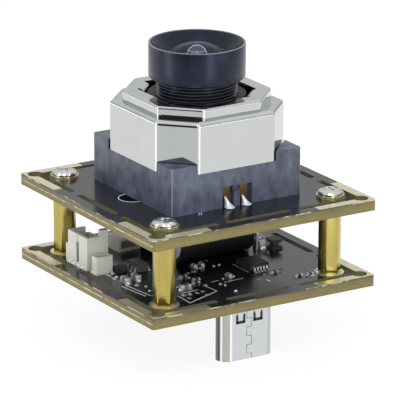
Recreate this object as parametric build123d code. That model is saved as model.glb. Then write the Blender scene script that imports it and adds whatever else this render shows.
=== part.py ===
from build123d import *
import math
import os

# Two-board autofocus camera module, in millimetres.
# X and Y run along the board edges and +Z points out of the lens.
# The origin is the centre of the mounting hole pattern on the underside of the lower board.

# Boards
board_size = 38.0
board_thickness = 1.6
board_corner_radius = 0.5
rail_width = 1.55
slot_width = 1.05
side_slot_half_length = 5.4
corner_slot_start = 6.9
corner_relief_radius = 1.15
corner_relief_inset = 0.15
hole_inset = 2.25
hole_radius = 1.1
motor_hole_radius = 1.8

# Standoffs, screws and washers
standoff_length = 10.0
standoff_across_flats = 3.0
standoff_turn = 40.0
thread_radius = 1.0
thread_clearance = 0.03
screw_length = 6.0
screw_head_radius = 1.89
screw_head_height = 0.85
screw_head_side = 0.3
screw_head_bands = 4
recess_length = 2.0
recess_width = 0.42
recess_depth = 0.45
washer_radius = 2.1
washer_thickness = 0.38

# Motor base
base_size = 22.0
base_height = 5.7
post_height = 7.15
post_leg = 4.3
base_edge_radius = 0.2
sensor_cavity_size = 17.5
sensor_cavity_height = 3.4
sensor_cavity_radius = 1.0
base_floor = 1.0
filter_window = 8.6
base_well_radius = 6.8
ledge_height = 0.4
ledge_inset = 0.15
terminal_slot_height = 3.15
terminal_slot_depth = 0.9
terminal_slots = ((-2.4, -0.42), (0.56, 2.6))
rib_window_low = 2.33
rib_window_high = 3.1
rib_window_depth = 0.45
terminal_ranges = ((-2.24, -0.81), (0.89, 2.14))
terminal_height = 3.05
terminal_thickness = 0.25
terminal_foot_length = 1.1
terminal_foot_thickness = 0.2
solder_tip = 0.3

# Solder at each terminal: lowest X, highest X, height, reach in front of the base
solder_wedges_at = ((-2.3, -0.5, 1.73, 1.3), (0.7, 2.45, 1.46, 1.1))

# Motor can
can_inset = 0.05
can_leg = 4.5
can_shoulder_height = 13.3
can_bend_radius = 0.7
can_corner_radius = 0.75
step_inset = 1.2
step_leg = 4.85
can_height = 14.86
step_bend_radius = 0.38
step_corner_radius = 0.6
sheet = 0.4
opening_half = 7.45
opening_diagonal = 8.34
tab_width = 3.5
tab_length = 6.6

# Coil, magnets, carrier and springs
coil_apothem = 8.1
coil_thickness = 0.8
coil_height = 4.0
coil_lift = 1.2
coil_corner_radius = 0.3
magnet_gap = 0.25
magnet_height = 5.4
magnet_side_gap = 1.47
magnet_end_gap = 0.1
magnet_lift = 0.3
carrier_wall_radius = 7.1
carrier_collar_radius = 7.2
carrier_neck_radius = 6.75
carrier_lift = 0.07
carrier_wing_width = 5.0
carrier_wing_root = 0.3
carrier_foot_thickness = 0.5
focus_travel = 0.4
travel_clearance = 0.15
spring_thickness = 0.08
spring_arm_width = 0.22
spring_arm_half_length = 1.5
spring_arm_root = 0.4
spring_clearance = 0.08
upper_frame_thickness = 0.56
upper_frame_width = 0.6
lower_frame_width = 1.0
lower_ring_overhang = 0.4
collar_height = 0.4

# Lens
lens_thread_radius = 6.0
lens_fit = 0.03
lens_length = 17.2
hood_rise = 7.14
hood_radius = 7.1
hood_height = 5.05
hood_chamfer = 0.3
rim_inner_radius = 6.8
ring_radius = 6.0
ring_bore_radius = 4.85
ring_lip = 0.05
ring_glass_gap = 0.03
barrel_bore_radius = 4.5
barrel_lip_radius = 3.4
barrel_lip_height = 1.0
front_glass_radius = 5.5
front_dome_radius = 6.5
front_back_radius = 3.6
front_rim_thickness = 1.6
front_air_gap = 2.0
front_apex_drop = 0.17
front_glass_thickness = 1.05
element_clearance = 0.05
rear_glass_thickness = 2.4
second_glass_thickness = 2.2
glass_curve = 9.0
stop_thickness = 0.3
stop_bore_radius = 1.2
spacer_wall = 0.7

# Filter and sensor
filter_size = 10.0
filter_thickness = 0.3
filter_fit = 0.1
sensor_package_size = (11.4, 10.6)
sensor_package_height = 1.5
sensor_pocket_size = (8.6, 7.6)
sensor_pocket_depth = 1.0
sensor_die_size = (7.8, 6.8)
sensor_die_height = 0.5
cover_glass_size = (9.8, 8.8)
cover_glass_height = 0.4

# Socket below the lower board
usb_length = 8.94
usb_depth = 3.26
usb_height = 9.1
usb_wall = 0.3
usb_inset = 3.4
usb_latch_width = 1.5
usb_latch_height = 1.5
usb_latch_cut = 0.25
usb_latch_spacing = 2.96
usb_latch_top = 2.0
usb_body_height = 3.7
usb_tongue_length = 6.69
usb_tongue_thickness = 0.7
usb_tongue_recess = 0.8
usb_contact_count = 12
usb_contact_pitch = 0.5
usb_contact_width = 0.25
usb_contact_length = 3.2
usb_contact_proud = 0.05
usb_contact_inset = 0.4
usb_seam_start = 0.8
usb_seam_pitch = 1.36
usb_seam_steps = 6
usb_seam_step = 0.43
usb_seam_width = 0.07
usb_leg_width = 1.1
leg_clearance = 0.1

# Headers on the lower board
tall_header_corner = (-16.2, 4.2)
tall_header_size = (3.6, 5.5, 5.0)
tall_header_wall = 0.55
tall_header_floor = 1.2
tall_header_back_height = 4.0
tall_header_step = 0.9
tall_header_post = (1.2, 0.8, 5.9)
tall_header_flange = (0.6, 2.8)
tall_header_groove = (0.75, 0.6, 3.9)
tall_header_slit = 0.2
small_header_corner = (-15.9, 1.9)
small_header_size = (2.7, 1.4, 2.65)
small_header_wall = 0.3
small_header_foot = (0.15, 0.3)
rear_header_corner = (-7.7, 9.4)
rear_header_size = (3.8, 3.4, 2.0)
rear_header_wall = 0.4
contact_width = 0.3
tall_contact_pitch = 1.4
tall_contact_width = 0.9
tall_contact_drop = 0.3
small_contact_pitch = 1.0
small_contact_drop = 0.4
rear_contact_pitch = 0.9
rear_contact_inset = 1.0

# Capacitor lying on the lower board
capacitor_radius = 3.15
capacitor_length = 12.5
capacitor_start_x = -3.4
capacitor_y = 1.35
capacitor_sleeve = 0.1
capacitor_curl = 0.5
capacitor_bung_depth = 1.4
capacitor_bung_fit = 0.1
capacitor_groove_depth = 0.3
capacitor_groove_width = 0.7
capacitor_lead_spacing = 2.5
capacitor_lead_radius = 0.25
capacitor_lead_reach = 1.6
capacitor_lead_bend = 0.8
lead_tail = 0.8

# Chips
chip_lift = 0.1
lead_thickness = 0.15
lead_knee = 0.35
lead_ankle = 0.5
controller_centre = (5.8, -6.45)
controller_size = (3.2, 3.7, 0.9)
controller_lead_count = 5
controller_lead_pitch = 0.53
controller_lead_width = 0.24
controller_lead_reach = 0.75
regulator_centre = (-9.4, 1.0)
regulator_size = (1.7, 2.95, 1.25)
regulator_lead_count = 3
regulator_lead_pitch = 0.95
regulator_lead_width = 0.4
regulator_lead_reach = 0.6
processor_centre = (3.5, 8.3)
processor_size = (6.0, 6.0, 0.85)
oscillator_centre = (11.6, 6.6)
oscillator_size = (2.5, 3.2, 0.8)
oscillator_lid = (0.25, 0.35)
oscillator_lid_radius = 0.3
inductor_size = (2.0, 1.9, 1.5)
inductor_flange = 0.4
inductor_corner_radius = 0.3
inductor_waist_inset = 0.2
diode_centre = (-12.1, 1.75)
diode_size = (1.8, 1.25, 0.9)

# Small ceramic parts: centre X, centre Y, length along X, length along Y, height
ceramic_capacitors_at = (
    (-14.0, -3.1, 0.8, 1.6, 0.85),
    (-12.0, -2.7, 0.8, 1.6, 0.85),
    (-8.2, -10.2, 1.6, 0.8, 0.8),
    (0.3, -8.6, 0.5, 1.0, 0.5),
    (-1.8, -2.4, 0.5, 1.0, 0.5),
    (-0.6, -2.4, 0.5, 1.0, 0.5),
)
chip_resistors_at = (
    (-5.4, -8.6, 1.0, 0.5, 0.35),
    (-5.6, -5.4, 1.0, 0.5, 0.35),
    (-4.6, -7.4, 1.0, 0.5, 0.35),
    (6.9, -10.6, 1.0, 0.5, 0.35),
    (9.2, -13.6, 1.0, 0.5, 0.35),
    (10.9, -13.9, 1.0, 0.5, 0.35),
)
chip_edge = 0.06

# Parts placed from the capacitor's leads: reach past them, centre Y
bypass_place = (0.9, 0.6)
bypass_size = (1.25, 2.0, 1.25)
inductor_place = (2.6, -0.7)

# Board-to-board link
link_centre = (3.5, 13.6)
link_length = 13.7
link_width = 3.4
link_socket_height = 4.4
link_plug_height = 2.0
link_pin_count = 10
link_pin_pitch = 1.27
link_pin_size = 0.4
link_pin_clearance = 0.1
link_pin_depth = 3.4
link_pin_end_gap = 0.4

# Cuts that open at a face run past it by this much
overrun = 1.0

# Levels and places worked out from the sizes above
lower_top = board_thickness
upper_bottom = lower_top + standoff_length
upper_top = upper_bottom + board_thickness
core_half = board_size / 2 - rail_width - slot_width
hole_offset = core_half - hole_inset
frame_inner_half = core_half + slot_width
slot_middle = core_half + slot_width / 2
usb_centre_y = usb_inset - core_half
can_half = base_size / 2 - can_inset
step_half = can_half - step_inset
base_top = upper_top + base_height
ledge_top = base_top + ledge_height
can_top = upper_top + can_height
plate_bottom = can_top - sheet
carrier_bottom = ledge_top + spring_thickness + carrier_lift
upper_spring_top = plate_bottom - upper_frame_thickness
collar_bottom = upper_spring_top + carrier_lift
neck_bottom = upper_spring_top - spring_thickness - focus_travel - travel_clearance
coil_bottom = carrier_bottom + coil_lift
filter_bottom = upper_top + sensor_cavity_height + base_floor - filter_thickness
hood_top = can_top + hood_rise
hood_bottom = hood_top - hood_height
barrel_bottom = hood_top - lens_length
front_apex = hood_top - front_apex_drop
lead_x = capacitor_start_x + capacitor_length + capacitor_lead_reach
inductor_centre = (lead_x + inductor_place[0], inductor_place[1])
bypass_centre = (lead_x + bypass_place[0], bypass_place[1])
octagon_factor = math.tan(math.radians(22.5))


def slab(low, high):
    """A box between two opposite corners."""
    size = [b - a for a, b in zip(low, high)]
    return Pos(*low) * Box(*size, align=(Align.MIN, Align.MIN, Align.MIN))


def disc(radius, low, high, x=0.0, y=0.0):
    """A round bar along Z between two levels."""
    blank = Cylinder(radius, high - low, align=(Align.CENTER, Align.CENTER, Align.MIN))
    return Pos(x, y, low) * blank


def tube(outer, inner, low, high):
    return disc(outer, low, high) - disc(inner, low, high)


def turned(points):
    """A solid turned about Z from an outline of (radius, level) points."""
    return revolve(Plane.XZ * Polygon(*points, align=None), Axis.Z)


def octagon(half, leg):
    """A square of this half width with its corners cut by legs of this length."""
    far = half - leg
    corners = [(half, far), (far, half), (-far, half), (-half, far)]
    corners += [(-half, -far), (-far, -half), (far, -half), (half, -far)]
    return Polygon(*corners, align=None)


def offset_leg(leg, inward):
    """The corner leg of an octagon moved inward all round."""
    return leg - (2 - math.sqrt(2)) * inward


def group(solids):
    return Compound(list(solids))


def quarter_turns(shape):
    return [Rot(0, 0, 90 * i) * shape for i in range(4)]


def corner_places():
    return [(sx * hole_offset, sy * hole_offset) for sx in (-1, 1) for sy in (-1, 1)]


# Boards


def corner_slot():
    """The break-out slot round one corner of the core, with a relief in the frame's corner."""
    start = corner_slot_start + slot_width / 2
    middle = (start + frame_inner_half) / 2
    length = frame_inner_half - start
    core = RectangleRounded(2 * core_half, 2 * core_half, hole_inset)
    leg = Pos(middle, middle) * Rectangle(length, length) - core
    ends = Pos(start, slot_middle) * Circle(slot_width / 2)
    ends += Pos(slot_middle, start) * Circle(slot_width / 2)
    relief_centre = frame_inner_half - corner_relief_inset
    relief = Pos(relief_centre, relief_centre) * Circle(corner_relief_radius) - core
    return leg + ends + relief


def board_blank(bottom):
    """A square board with its break-out slots and four mounting holes."""
    outline = RectangleRounded(board_size, board_size, board_corner_radius)
    side_slot = Pos(0, slot_middle) * SlotOverall(2 * side_slot_half_length, slot_width)
    corner = corner_slot()
    for angle in (0, 90, 180, 270):
        outline -= Rot(0, 0, angle) * side_slot
        outline -= Rot(0, 0, angle) * corner
    for x, y in corner_places():
        outline -= Pos(x, y) * Circle(hole_radius)
    return Pos(0, 0, bottom) * extrude(outline, board_thickness)


def lower_board():
    board = board_blank(0)
    for x, y in capacitor_lead_places():
        board -= disc(capacitor_lead_radius + leg_clearance, 0, lower_top, x, y)
    for side in (-1, 1):
        board -= usb_leg(side, leg_clearance)
    return board


def upper_board():
    board = board_blank(upper_bottom)
    for side in (-1, 1):
        board -= disc(motor_hole_radius, upper_bottom, upper_top, side * base_size / 2)
    return board


# Standoffs and fasteners


def standoff():
    hexagon = RegularPolygon(standoff_across_flats / 2, 6, major_radius=False, rotation=standoff_turn)
    bar = Pos(0, 0, lower_top) * extrude(hexagon, standoff_length)
    return bar - disc(thread_radius, lower_top, upper_bottom)


def screw_head(bottom):
    """A pan head: a short straight side under a crown turned in a few bands."""
    crown = screw_head_height - screw_head_side
    outline = [(0, bottom), (screw_head_radius, bottom)]
    for i in range(screw_head_bands):
        turn = math.pi / 2 * i / screw_head_bands
        level = bottom + screw_head_side + crown * math.sin(turn)
        outline.append((screw_head_radius * math.cos(turn), level))
    outline.append((0, bottom + screw_head_height))
    return turned(outline)


def cross_recess(top):
    """Two crossed blades that taper to the bottom of the recess."""
    wide = Rectangle(recess_length, recess_width)
    narrow = Rectangle(recess_width, recess_width / 2)
    blade = loft([Pos(0, 0, top) * wide, Pos(0, 0, top - recess_depth) * narrow])
    return blade + Rot(0, 0, 90) * blade


def top_screw():
    seat = upper_top + washer_thickness
    screw = screw_head(seat) + disc(thread_radius - thread_clearance, seat - screw_length, seat)
    return screw - cross_recess(seat + screw_head_height)


def screw_washer():
    return tube(washer_radius, hole_radius, upper_top, upper_top + washer_thickness)


# Motor base


def terminal_slot(x_range):
    front = -base_size / 2
    low = (x_range[0], front - overrun, upper_top)
    high = (x_range[1], front + terminal_slot_depth, upper_top + terminal_slot_height)
    return slab(low, high)


def motor_base():
    """Moulded base: posts at the corners, a ledge in the can and a stepped window for the filter."""
    block = extrude(Pos(0, 0, upper_top) * Rectangle(base_size, base_size), post_height)
    block = fillet(block.edges().filter_by(Axis.Z), base_edge_radius)
    clear = Pos(0, 0, base_top) * octagon(base_size, base_size + post_leg)
    base = block - extrude(clear, post_height)
    ledge_half = can_half - sheet - ledge_inset
    ledge_leg = offset_leg(can_leg, sheet + ledge_inset)
    base += extrude(Pos(0, 0, base_top) * octagon(ledge_half, ledge_leg), ledge_height)
    cavity_top = upper_top + sensor_cavity_height
    cavity = RectangleRounded(sensor_cavity_size, sensor_cavity_size, sensor_cavity_radius)
    base -= extrude(Pos(0, 0, upper_top) * cavity, sensor_cavity_height)
    base -= extrude(Pos(0, 0, cavity_top) * Rectangle(filter_window, filter_window), base_floor)
    pocket = filter_size + 2 * filter_fit
    base -= extrude(Pos(0, 0, filter_bottom) * Rectangle(pocket, pocket), filter_thickness)
    base -= disc(base_well_radius, filter_bottom + filter_thickness, ledge_top)
    for x_range in terminal_slots:
        base -= terminal_slot(x_range)
    front = -base_size / 2
    low = (terminal_slots[0][1], front - overrun, upper_top + rib_window_low)
    high = (terminal_slots[1][0], front + rib_window_depth, upper_top + rib_window_high)
    return base - slab(low, high)


# Motor can


def can_step(half, leg, height):
    """An eight-sided block that stands on the base."""
    return extrude(Pos(0, 0, base_top) * octagon(half, leg), height - base_height)


def can_outside():
    lower = can_step(can_half, can_leg, can_shoulder_height)
    lower = fillet(lower.edges().filter_by(Axis.Z), can_corner_radius)
    lower = fillet(lower.faces().sort_by(Axis.Z)[-1].edges(), can_bend_radius)
    upper = can_step(step_half, step_leg, can_height)
    upper = fillet(upper.edges().filter_by(Axis.Z), step_corner_radius)
    upper = fillet(upper.faces().sort_by(Axis.Z)[-1].edges(), step_bend_radius)
    return lower + upper


def can_inside():
    """The room in the can, one sheet inward, with plain inner bends."""
    lower = can_step(can_half - sheet, offset_leg(can_leg, sheet), can_shoulder_height - sheet)
    return lower + can_step(step_half - sheet, offset_leg(step_leg, sheet), can_height - sheet)


def inner_pole_tab():
    """A corner tab of the top plate, bent down inside the coil."""
    bend = opening_diagonal - opening_half
    centre = Plane.XZ * Pos(opening_diagonal, can_top - bend)
    ring = Circle(bend) - Circle(bend - sheet)
    ring &= Pos(-bend, 0) * Rectangle(bend, bend, align=(Align.MIN, Align.MIN))
    root = Pos(0, bend - sheet) * Rectangle(sheet, sheet, align=(Align.MIN, Align.MIN))
    drop = Pos(-bend, 0) * Rectangle(sheet, tab_length, align=(Align.MIN, Align.MAX))
    tab = extrude(centre * (ring + root + drop), tab_width / 2, both=True)
    return Rot(0, 0, 45) * tab


def motor_can():
    can = can_outside() - can_inside()
    leg = 2 * opening_half - opening_diagonal * math.sqrt(2)
    can -= extrude(Pos(0, 0, plate_bottom) * octagon(opening_half, leg), sheet)
    for tab in quarter_turns(inner_pole_tab()):
        can += tab
    return can


# Magnets, coil, carrier and springs


def motor_magnets():
    """Four wedge-shaped corner magnets glued behind the can's chamfers."""
    outer = (2 * can_half - can_leg) / math.sqrt(2) - sheet
    inner = coil_apothem + coil_thickness + magnet_gap
    outer_half = offset_leg(can_leg, sheet) / math.sqrt(2) - magnet_end_gap
    inner_half = (can_half - sheet) * math.sqrt(2) - inner - magnet_side_gap
    outline = [(inner, -inner_half), (outer, -outer_half), (outer, outer_half), (inner, inner_half)]
    bottom = ledge_top + spring_thickness + magnet_lift
    magnet = extrude(Pos(0, 0, bottom) * Polygon(*outline, align=None), magnet_height)
    return group(quarter_turns(Rot(0, 0, 45) * magnet))


def regular_octagon(apothem):
    return octagon(apothem, apothem * (1 - octagon_factor))


def motor_coil():
    """Flat-sided winding with its corners inside the magnets."""
    ring = regular_octagon(coil_apothem + coil_thickness) - regular_octagon(coil_apothem)
    coil = extrude(Pos(0, 0, coil_bottom) * ring, coil_height)
    return fillet(coil.edges().filter_by(Axis.Z), coil_corner_radius)


def lens_carrier():
    """Threaded bobbin: four wings hold the coil and a collar sits over the upper spring."""
    bore = lens_thread_radius + lens_fit
    collar_top = collar_bottom + collar_height
    outline = [(bore, carrier_bottom), (carrier_wall_radius, carrier_bottom)]
    outline += [(carrier_wall_radius, neck_bottom), (carrier_neck_radius, neck_bottom)]
    outline += [(carrier_neck_radius, collar_bottom), (carrier_collar_radius, collar_bottom)]
    outline += [(carrier_collar_radius, collar_top), (bore, collar_top)]
    carrier = turned(outline)
    root = carrier_wall_radius - carrier_wing_root
    half_width = carrier_wing_width / 2
    for angle in (0, 90, 180, 270):
        foot = slab(
            (root, -half_width, coil_bottom - carrier_foot_thickness),
            (coil_apothem + coil_thickness, half_width, coil_bottom),
        )
        wing = slab((root, -half_width, coil_bottom), (coil_apothem, half_width, coil_bottom + coil_height))
        carrier += Rot(0, 0, angle) * (foot + wing)
    return carrier - disc(bore, carrier_bottom, collar_top)


def leaf_spring(top, outer_half, outer_leg, ring_inner, ring_outer, frame_width):
    """A flat spring: an outer frame and an inner ring joined by four folded arms."""
    frame = octagon(outer_half, outer_leg)
    frame -= octagon(outer_half - frame_width, offset_leg(outer_leg, frame_width))
    ring = Circle(ring_outer) - Circle(ring_inner)
    arm_x = (ring_outer + outer_half - frame_width) / 2
    arm_half = spring_arm_half_length
    root_length = arm_x - ring_outer + spring_arm_root
    root = Pos(arm_x - root_length / 2, -arm_half) * Rectangle(root_length, spring_arm_width)
    strip = Pos(arm_x, 0) * Rectangle(spring_arm_width, 2 * arm_half + spring_arm_width)
    tip_length = outer_half - arm_x - frame_width / 2
    tip = Pos(arm_x + tip_length / 2, arm_half) * Rectangle(tip_length, spring_arm_width)
    arm = root + strip + tip
    flat = frame + ring
    for angle in (0, 90, 180, 270):
        flat += Rot(0, 0, angle) * arm
    return Pos(0, 0, top - spring_thickness) * extrude(flat, spring_thickness)


def upper_leaf_spring():
    inward = sheet + spring_clearance
    ring_inner = carrier_neck_radius + spring_clearance
    outer_half = step_half - inward
    outer_leg = offset_leg(step_leg, inward)
    ring_outer = carrier_wall_radius
    return leaf_spring(upper_spring_top, outer_half, outer_leg, ring_inner, ring_outer, upper_frame_width)


def upper_spring_frame():
    """Spacer ring between the can's top plate and the upper spring."""
    inward = sheet + spring_clearance
    frame = octagon(step_half - inward, offset_leg(step_leg, inward))
    inward += upper_frame_width
    frame -= octagon(step_half - inward, offset_leg(step_leg, inward))
    return Pos(0, 0, upper_spring_top) * extrude(frame, upper_frame_thickness)


def lower_leaf_spring():
    inward = sheet + ledge_inset + spring_clearance
    outer_half = can_half - inward
    outer_leg = offset_leg(can_leg, inward)
    top = ledge_top + spring_thickness
    ring_inner = base_well_radius - lower_ring_overhang
    return leaf_spring(top, outer_half, outer_leg, ring_inner, carrier_wall_radius, lower_frame_width)


# Coil terminals and their solder


def coil_terminal(x_low, x_high):
    """A strip down the slot, with a foot on the board."""
    back = -base_size / 2 + terminal_slot_depth
    strip = slab((x_low, back - terminal_thickness, upper_top), (x_high, back, upper_top + terminal_height))
    foot_top = upper_top + terminal_foot_thickness
    return strip + slab((x_low, back - terminal_foot_length, upper_top), (x_high, back, foot_top))


def coil_terminals():
    return group([coil_terminal(*x_range) for x_range in terminal_ranges])


def solder_wedge(x_low, x_high, height, reach):
    """Solder drawn up from a foot on the board to a narrow tip at one edge of the terminal."""
    back = -base_size / 2 + terminal_slot_depth - terminal_thickness
    front = -base_size / 2 - reach
    foot = Pos((x_low + x_high) / 2, (front + back) / 2, upper_top) * Rectangle(x_high - x_low, back - front)
    tip_centre = (x_low + solder_tip, back - solder_tip / 2, upper_top + height)
    return loft([foot, Pos(*tip_centre) * Rectangle(solder_tip, solder_tip)], ruled=True)


def terminal_solder():
    wedges = [solder_wedge(*at) for at in solder_wedges_at]
    return group([wedge - coil_terminals() for wedge in wedges])


# Lens


def dome_level(radius):
    """The level of the front glass's dome at this distance from the axis."""
    return front_apex - front_dome_radius + math.sqrt(front_dome_radius ** 2 - radius ** 2)


def front_seat():
    """The level of the shoulder in the barrel that carries the front glass."""
    return dome_level(front_glass_radius) - front_rim_thickness


def cup_bottom():
    """The level of the retaining ring's inner edge, just over the front glass."""
    return dome_level(ring_bore_radius) + ring_glass_gap + ring_lip


def ring_top():
    """The level where the retaining ring's cone meets the hood's."""
    share = (rim_inner_radius - ring_radius) / (rim_inner_radius - ring_bore_radius)
    return hood_top - share * (hood_top - cup_bottom())


def lens_barrel():
    """Threaded barrel and hood in one, turned from the front and the back."""
    glass_bore = front_glass_radius + element_clearance
    ring_seat = dome_level(front_glass_radius)
    outline = [
        (barrel_lip_radius, barrel_bottom),
        (lens_thread_radius, barrel_bottom),
        (lens_thread_radius, hood_bottom),
        (hood_radius - hood_chamfer, hood_bottom),
        (hood_radius, hood_bottom + hood_chamfer),
        (hood_radius, hood_top),
        (rim_inner_radius, hood_top),
        (ring_radius, ring_top()),
        (ring_radius, ring_seat),
        (glass_bore, ring_seat),
        (glass_bore, front_seat()),
        (barrel_bore_radius, front_seat()),
        (barrel_bore_radius, barrel_bottom + barrel_lip_height),
        (barrel_lip_radius, barrel_bottom + barrel_lip_height),
    ]
    return turned(outline)


def lens_retaining_ring():
    """Ring with a conical face, hollowed below to clear the dome of the front glass."""
    outer = ring_radius - element_clearance
    middle = (front_glass_radius + ring_bore_radius) / 2
    outline = [
        (front_glass_radius, dome_level(front_glass_radius)),
        (outer, dome_level(front_glass_radius)),
        (outer, ring_top()),
        (ring_bore_radius, cup_bottom()),
        (ring_bore_radius, cup_bottom() - ring_lip),
        (middle, dome_level(middle) + ring_glass_gap),
    ]
    return turned(outline)


def front_lens_element():
    """Strong meniscus: a dome in front and a deep hollow behind."""
    glass = disc(front_glass_radius, front_seat(), front_apex)
    glass &= Pos(0, 0, front_apex - front_dome_radius) * Sphere(front_dome_radius)
    hollow = front_apex - front_glass_thickness - front_back_radius
    return glass - Pos(0, 0, hollow) * Sphere(front_back_radius)


def spacer_bore_radius():
    return barrel_bore_radius - element_clearance - spacer_wall


def rim_height(thickness):
    """The height of a flat-backed element's rim, where its spacer seats."""
    sag = glass_curve - math.sqrt(glass_curve ** 2 - spacer_bore_radius() ** 2)
    return thickness - sag


def flat_backed_element(bottom, thickness):
    """A round element with a flat back, a domed face and a flat rim for its spacer."""
    top = bottom + thickness
    rim = disc(barrel_bore_radius - element_clearance, bottom, bottom + rim_height(thickness))
    dome = disc(spacer_bore_radius(), bottom, top) & Pos(0, 0, top - glass_curve) * Sphere(glass_curve)
    return rim + dome


def rear_glass_bottom():
    return barrel_bottom + barrel_lip_height


def second_glass_bottom():
    return front_seat() - front_air_gap - second_glass_thickness


def rear_lens_element():
    return flat_backed_element(rear_glass_bottom(), rear_glass_thickness)


def second_lens_element():
    return flat_backed_element(second_glass_bottom(), second_glass_thickness)


def spacer(low, high):
    return tube(barrel_bore_radius - element_clearance, spacer_bore_radius(), low, high)


def rear_spacer():
    low = rear_glass_bottom() + rim_height(rear_glass_thickness)
    return spacer(low, second_glass_bottom() - stop_thickness)


def aperture_stop():
    top = second_glass_bottom()
    return tube(barrel_bore_radius - element_clearance, stop_bore_radius, top - stop_thickness, top)


def front_spacer():
    return spacer(second_glass_bottom() + rim_height(second_glass_thickness), front_seat())


# Filter and sensor


def ir_filter():
    return extrude(Pos(0, 0, filter_bottom) * Rectangle(filter_size, filter_size), filter_thickness)


def sensor_package():
    body = extrude(Pos(0, 0, upper_top) * Rectangle(*sensor_package_size), sensor_package_height)
    pocket_floor = upper_top + sensor_package_height - sensor_pocket_depth
    pocket = Pos(0, 0, pocket_floor) * Rectangle(*sensor_pocket_size)
    return body - extrude(pocket, sensor_pocket_depth)


def sensor_die():
    floor = upper_top + sensor_package_height - sensor_pocket_depth
    return extrude(Pos(0, 0, floor) * Rectangle(*sensor_die_size), sensor_die_height)


def sensor_cover_glass():
    seat = upper_top + sensor_package_height
    return extrude(Pos(0, 0, seat) * Rectangle(*cover_glass_size), cover_glass_height)


# Socket below the lower board


def usb_section(inward, top, bottom):
    outline = SlotOverall(usb_length - 2 * inward, usb_depth - 2 * inward)
    return extrude(Pos(0, usb_centre_y, bottom) * outline, top - bottom)


def usb_leg(side, clearance):
    """A flat leg at one end of the shell, through the board."""
    middle = side * (usb_length / 2 - usb_wall / 2)
    half_x = usb_wall / 2 + clearance
    half_y = usb_leg_width / 2 + clearance
    low = (middle - half_x, usb_centre_y - half_y, -usb_wall)
    high = (middle + half_x, usb_centre_y + half_y, lower_top)
    return slab(low, high)


def latch_cut(x):
    """A U-shaped cut that frees a spring tongue in the front and back walls."""
    outer = Rectangle(usb_latch_width, usb_latch_height)
    tongue_width = usb_latch_width - 2 * usb_latch_cut
    tongue = Pos(0, usb_latch_cut) * Rectangle(tongue_width, usb_latch_height)
    middle_z = -usb_latch_top - usb_latch_height / 2
    cut = Plane.XZ * Pos(x, middle_z) * (outer - tongue)
    return Pos(0, usb_centre_y, 0) * extrude(cut, usb_depth, both=True)


def seam_cut():
    """The stepped seam where the rolled sheet meets itself in the front wall."""
    levels = [usb_seam_start - usb_height + i * usb_seam_pitch for i in range(usb_seam_steps)]
    ends = [-usb_height - overrun, *levels, overrun]
    seam = Sketch()
    for i, (low, high) in enumerate(zip(ends, ends[1:])):
        side = -usb_seam_step if i % 2 else usb_seam_step
        seam += Pos(side, (low + high) / 2) * Rectangle(usb_seam_width, high - low)
    for level in levels:
        seam += Pos(0, level) * Rectangle(2 * usb_seam_step + usb_seam_width, usb_seam_width)
    front = Plane.XZ.offset(usb_depth / 2 - usb_centre_y)
    return extrude(front * seam, usb_wall, both=True)


def usb_shell():
    """Sheet rolled to a flat oval, with a seam in front and two spring tongues on each broad side."""
    shell = usb_section(0, 0, -usb_height) - usb_section(usb_wall, 0, -usb_height) - seam_cut()
    for side in (-1, 1):
        shell -= latch_cut(side * usb_latch_spacing / 2)
        shell += usb_leg(side, 0)
    return shell


def usb_tongue():
    """Moulded insert: a block that fills the shell, with the tongue standing out of it."""
    block = usb_section(usb_wall, 0, -usb_body_height)
    half = usb_tongue_length / 2
    low = (-half, usb_centre_y - usb_tongue_thickness / 2, -usb_height + usb_tongue_recess)
    high = (half, usb_centre_y + usb_tongue_thickness / 2, -usb_body_height)
    return block + slab(low, high)


def usb_contacts():
    """Two rows of contacts, one on each face of the tongue."""
    contacts = []
    tip = -usb_height + usb_tongue_recess + usb_contact_inset
    face = usb_tongue_thickness / 2
    for i in range(usb_contact_count):
        x = (i - (usb_contact_count - 1) / 2) * usb_contact_pitch
        for side in (-1, 1):
            near = usb_centre_y + side * face
            far = near + side * usb_contact_proud
            low = (x - usb_contact_width / 2, min(near, far), tip)
            high = (x + usb_contact_width / 2, max(near, far), tip + usb_contact_length)
            contacts.append(slab(low, high))
    return group(contacts)


# Headers on the lower board


def tall_header_housing():
    """Upright open housing: a grooved front wall, a low back wall and one raised post."""
    x, y = tall_header_corner
    length, width, height = tall_header_size
    wall = tall_header_wall
    far = x + length
    top = lower_top + height
    body = slab((x, y, lower_top), (far, y + width, top))
    flange, flange_height = tall_header_flange
    body += slab((x, y + width, lower_top), (far, y + width + flange, lower_top + flange_height))
    floor = lower_top + tall_header_floor
    body -= slab((x + wall, y + wall, floor), (far - wall, y + width - wall, top))
    back_top = lower_top + tall_header_back_height
    body -= slab((far - tall_header_step, y + wall, back_top), (far, y + width, top))
    post_length, post_width, post_height = tall_header_post
    body += slab((far - post_length, y, lower_top), (far, y + post_width, lower_top + post_height))
    groove, groove_low, groove_high = tall_header_groove
    middle = y + width / 2
    body -= slab(
        (x, middle - groove / 2, lower_top + groove_low),
        (x + wall / 2, middle + groove / 2, lower_top + groove_high),
    )
    body -= slab(
        (x, middle - tall_header_slit / 2, lower_top + groove_high),
        (x + wall / 2, middle + tall_header_slit / 2, top),
    )
    return body


def tall_header_contacts():
    """Three flat contacts against the back wall."""
    x, y = tall_header_corner
    length, width, _ = tall_header_size
    face = x + length - tall_header_wall
    top = lower_top + tall_header_back_height - tall_contact_drop
    floor = lower_top + tall_header_floor
    blades = []
    half = tall_contact_width / 2
    for offset in (-tall_contact_pitch, 0, tall_contact_pitch):
        middle = y + width / 2 + offset
        low = (face - contact_width, middle - half, floor)
        high = (face, middle + half, top)
        blades.append(slab(low, high))
    return group(blades)


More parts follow.
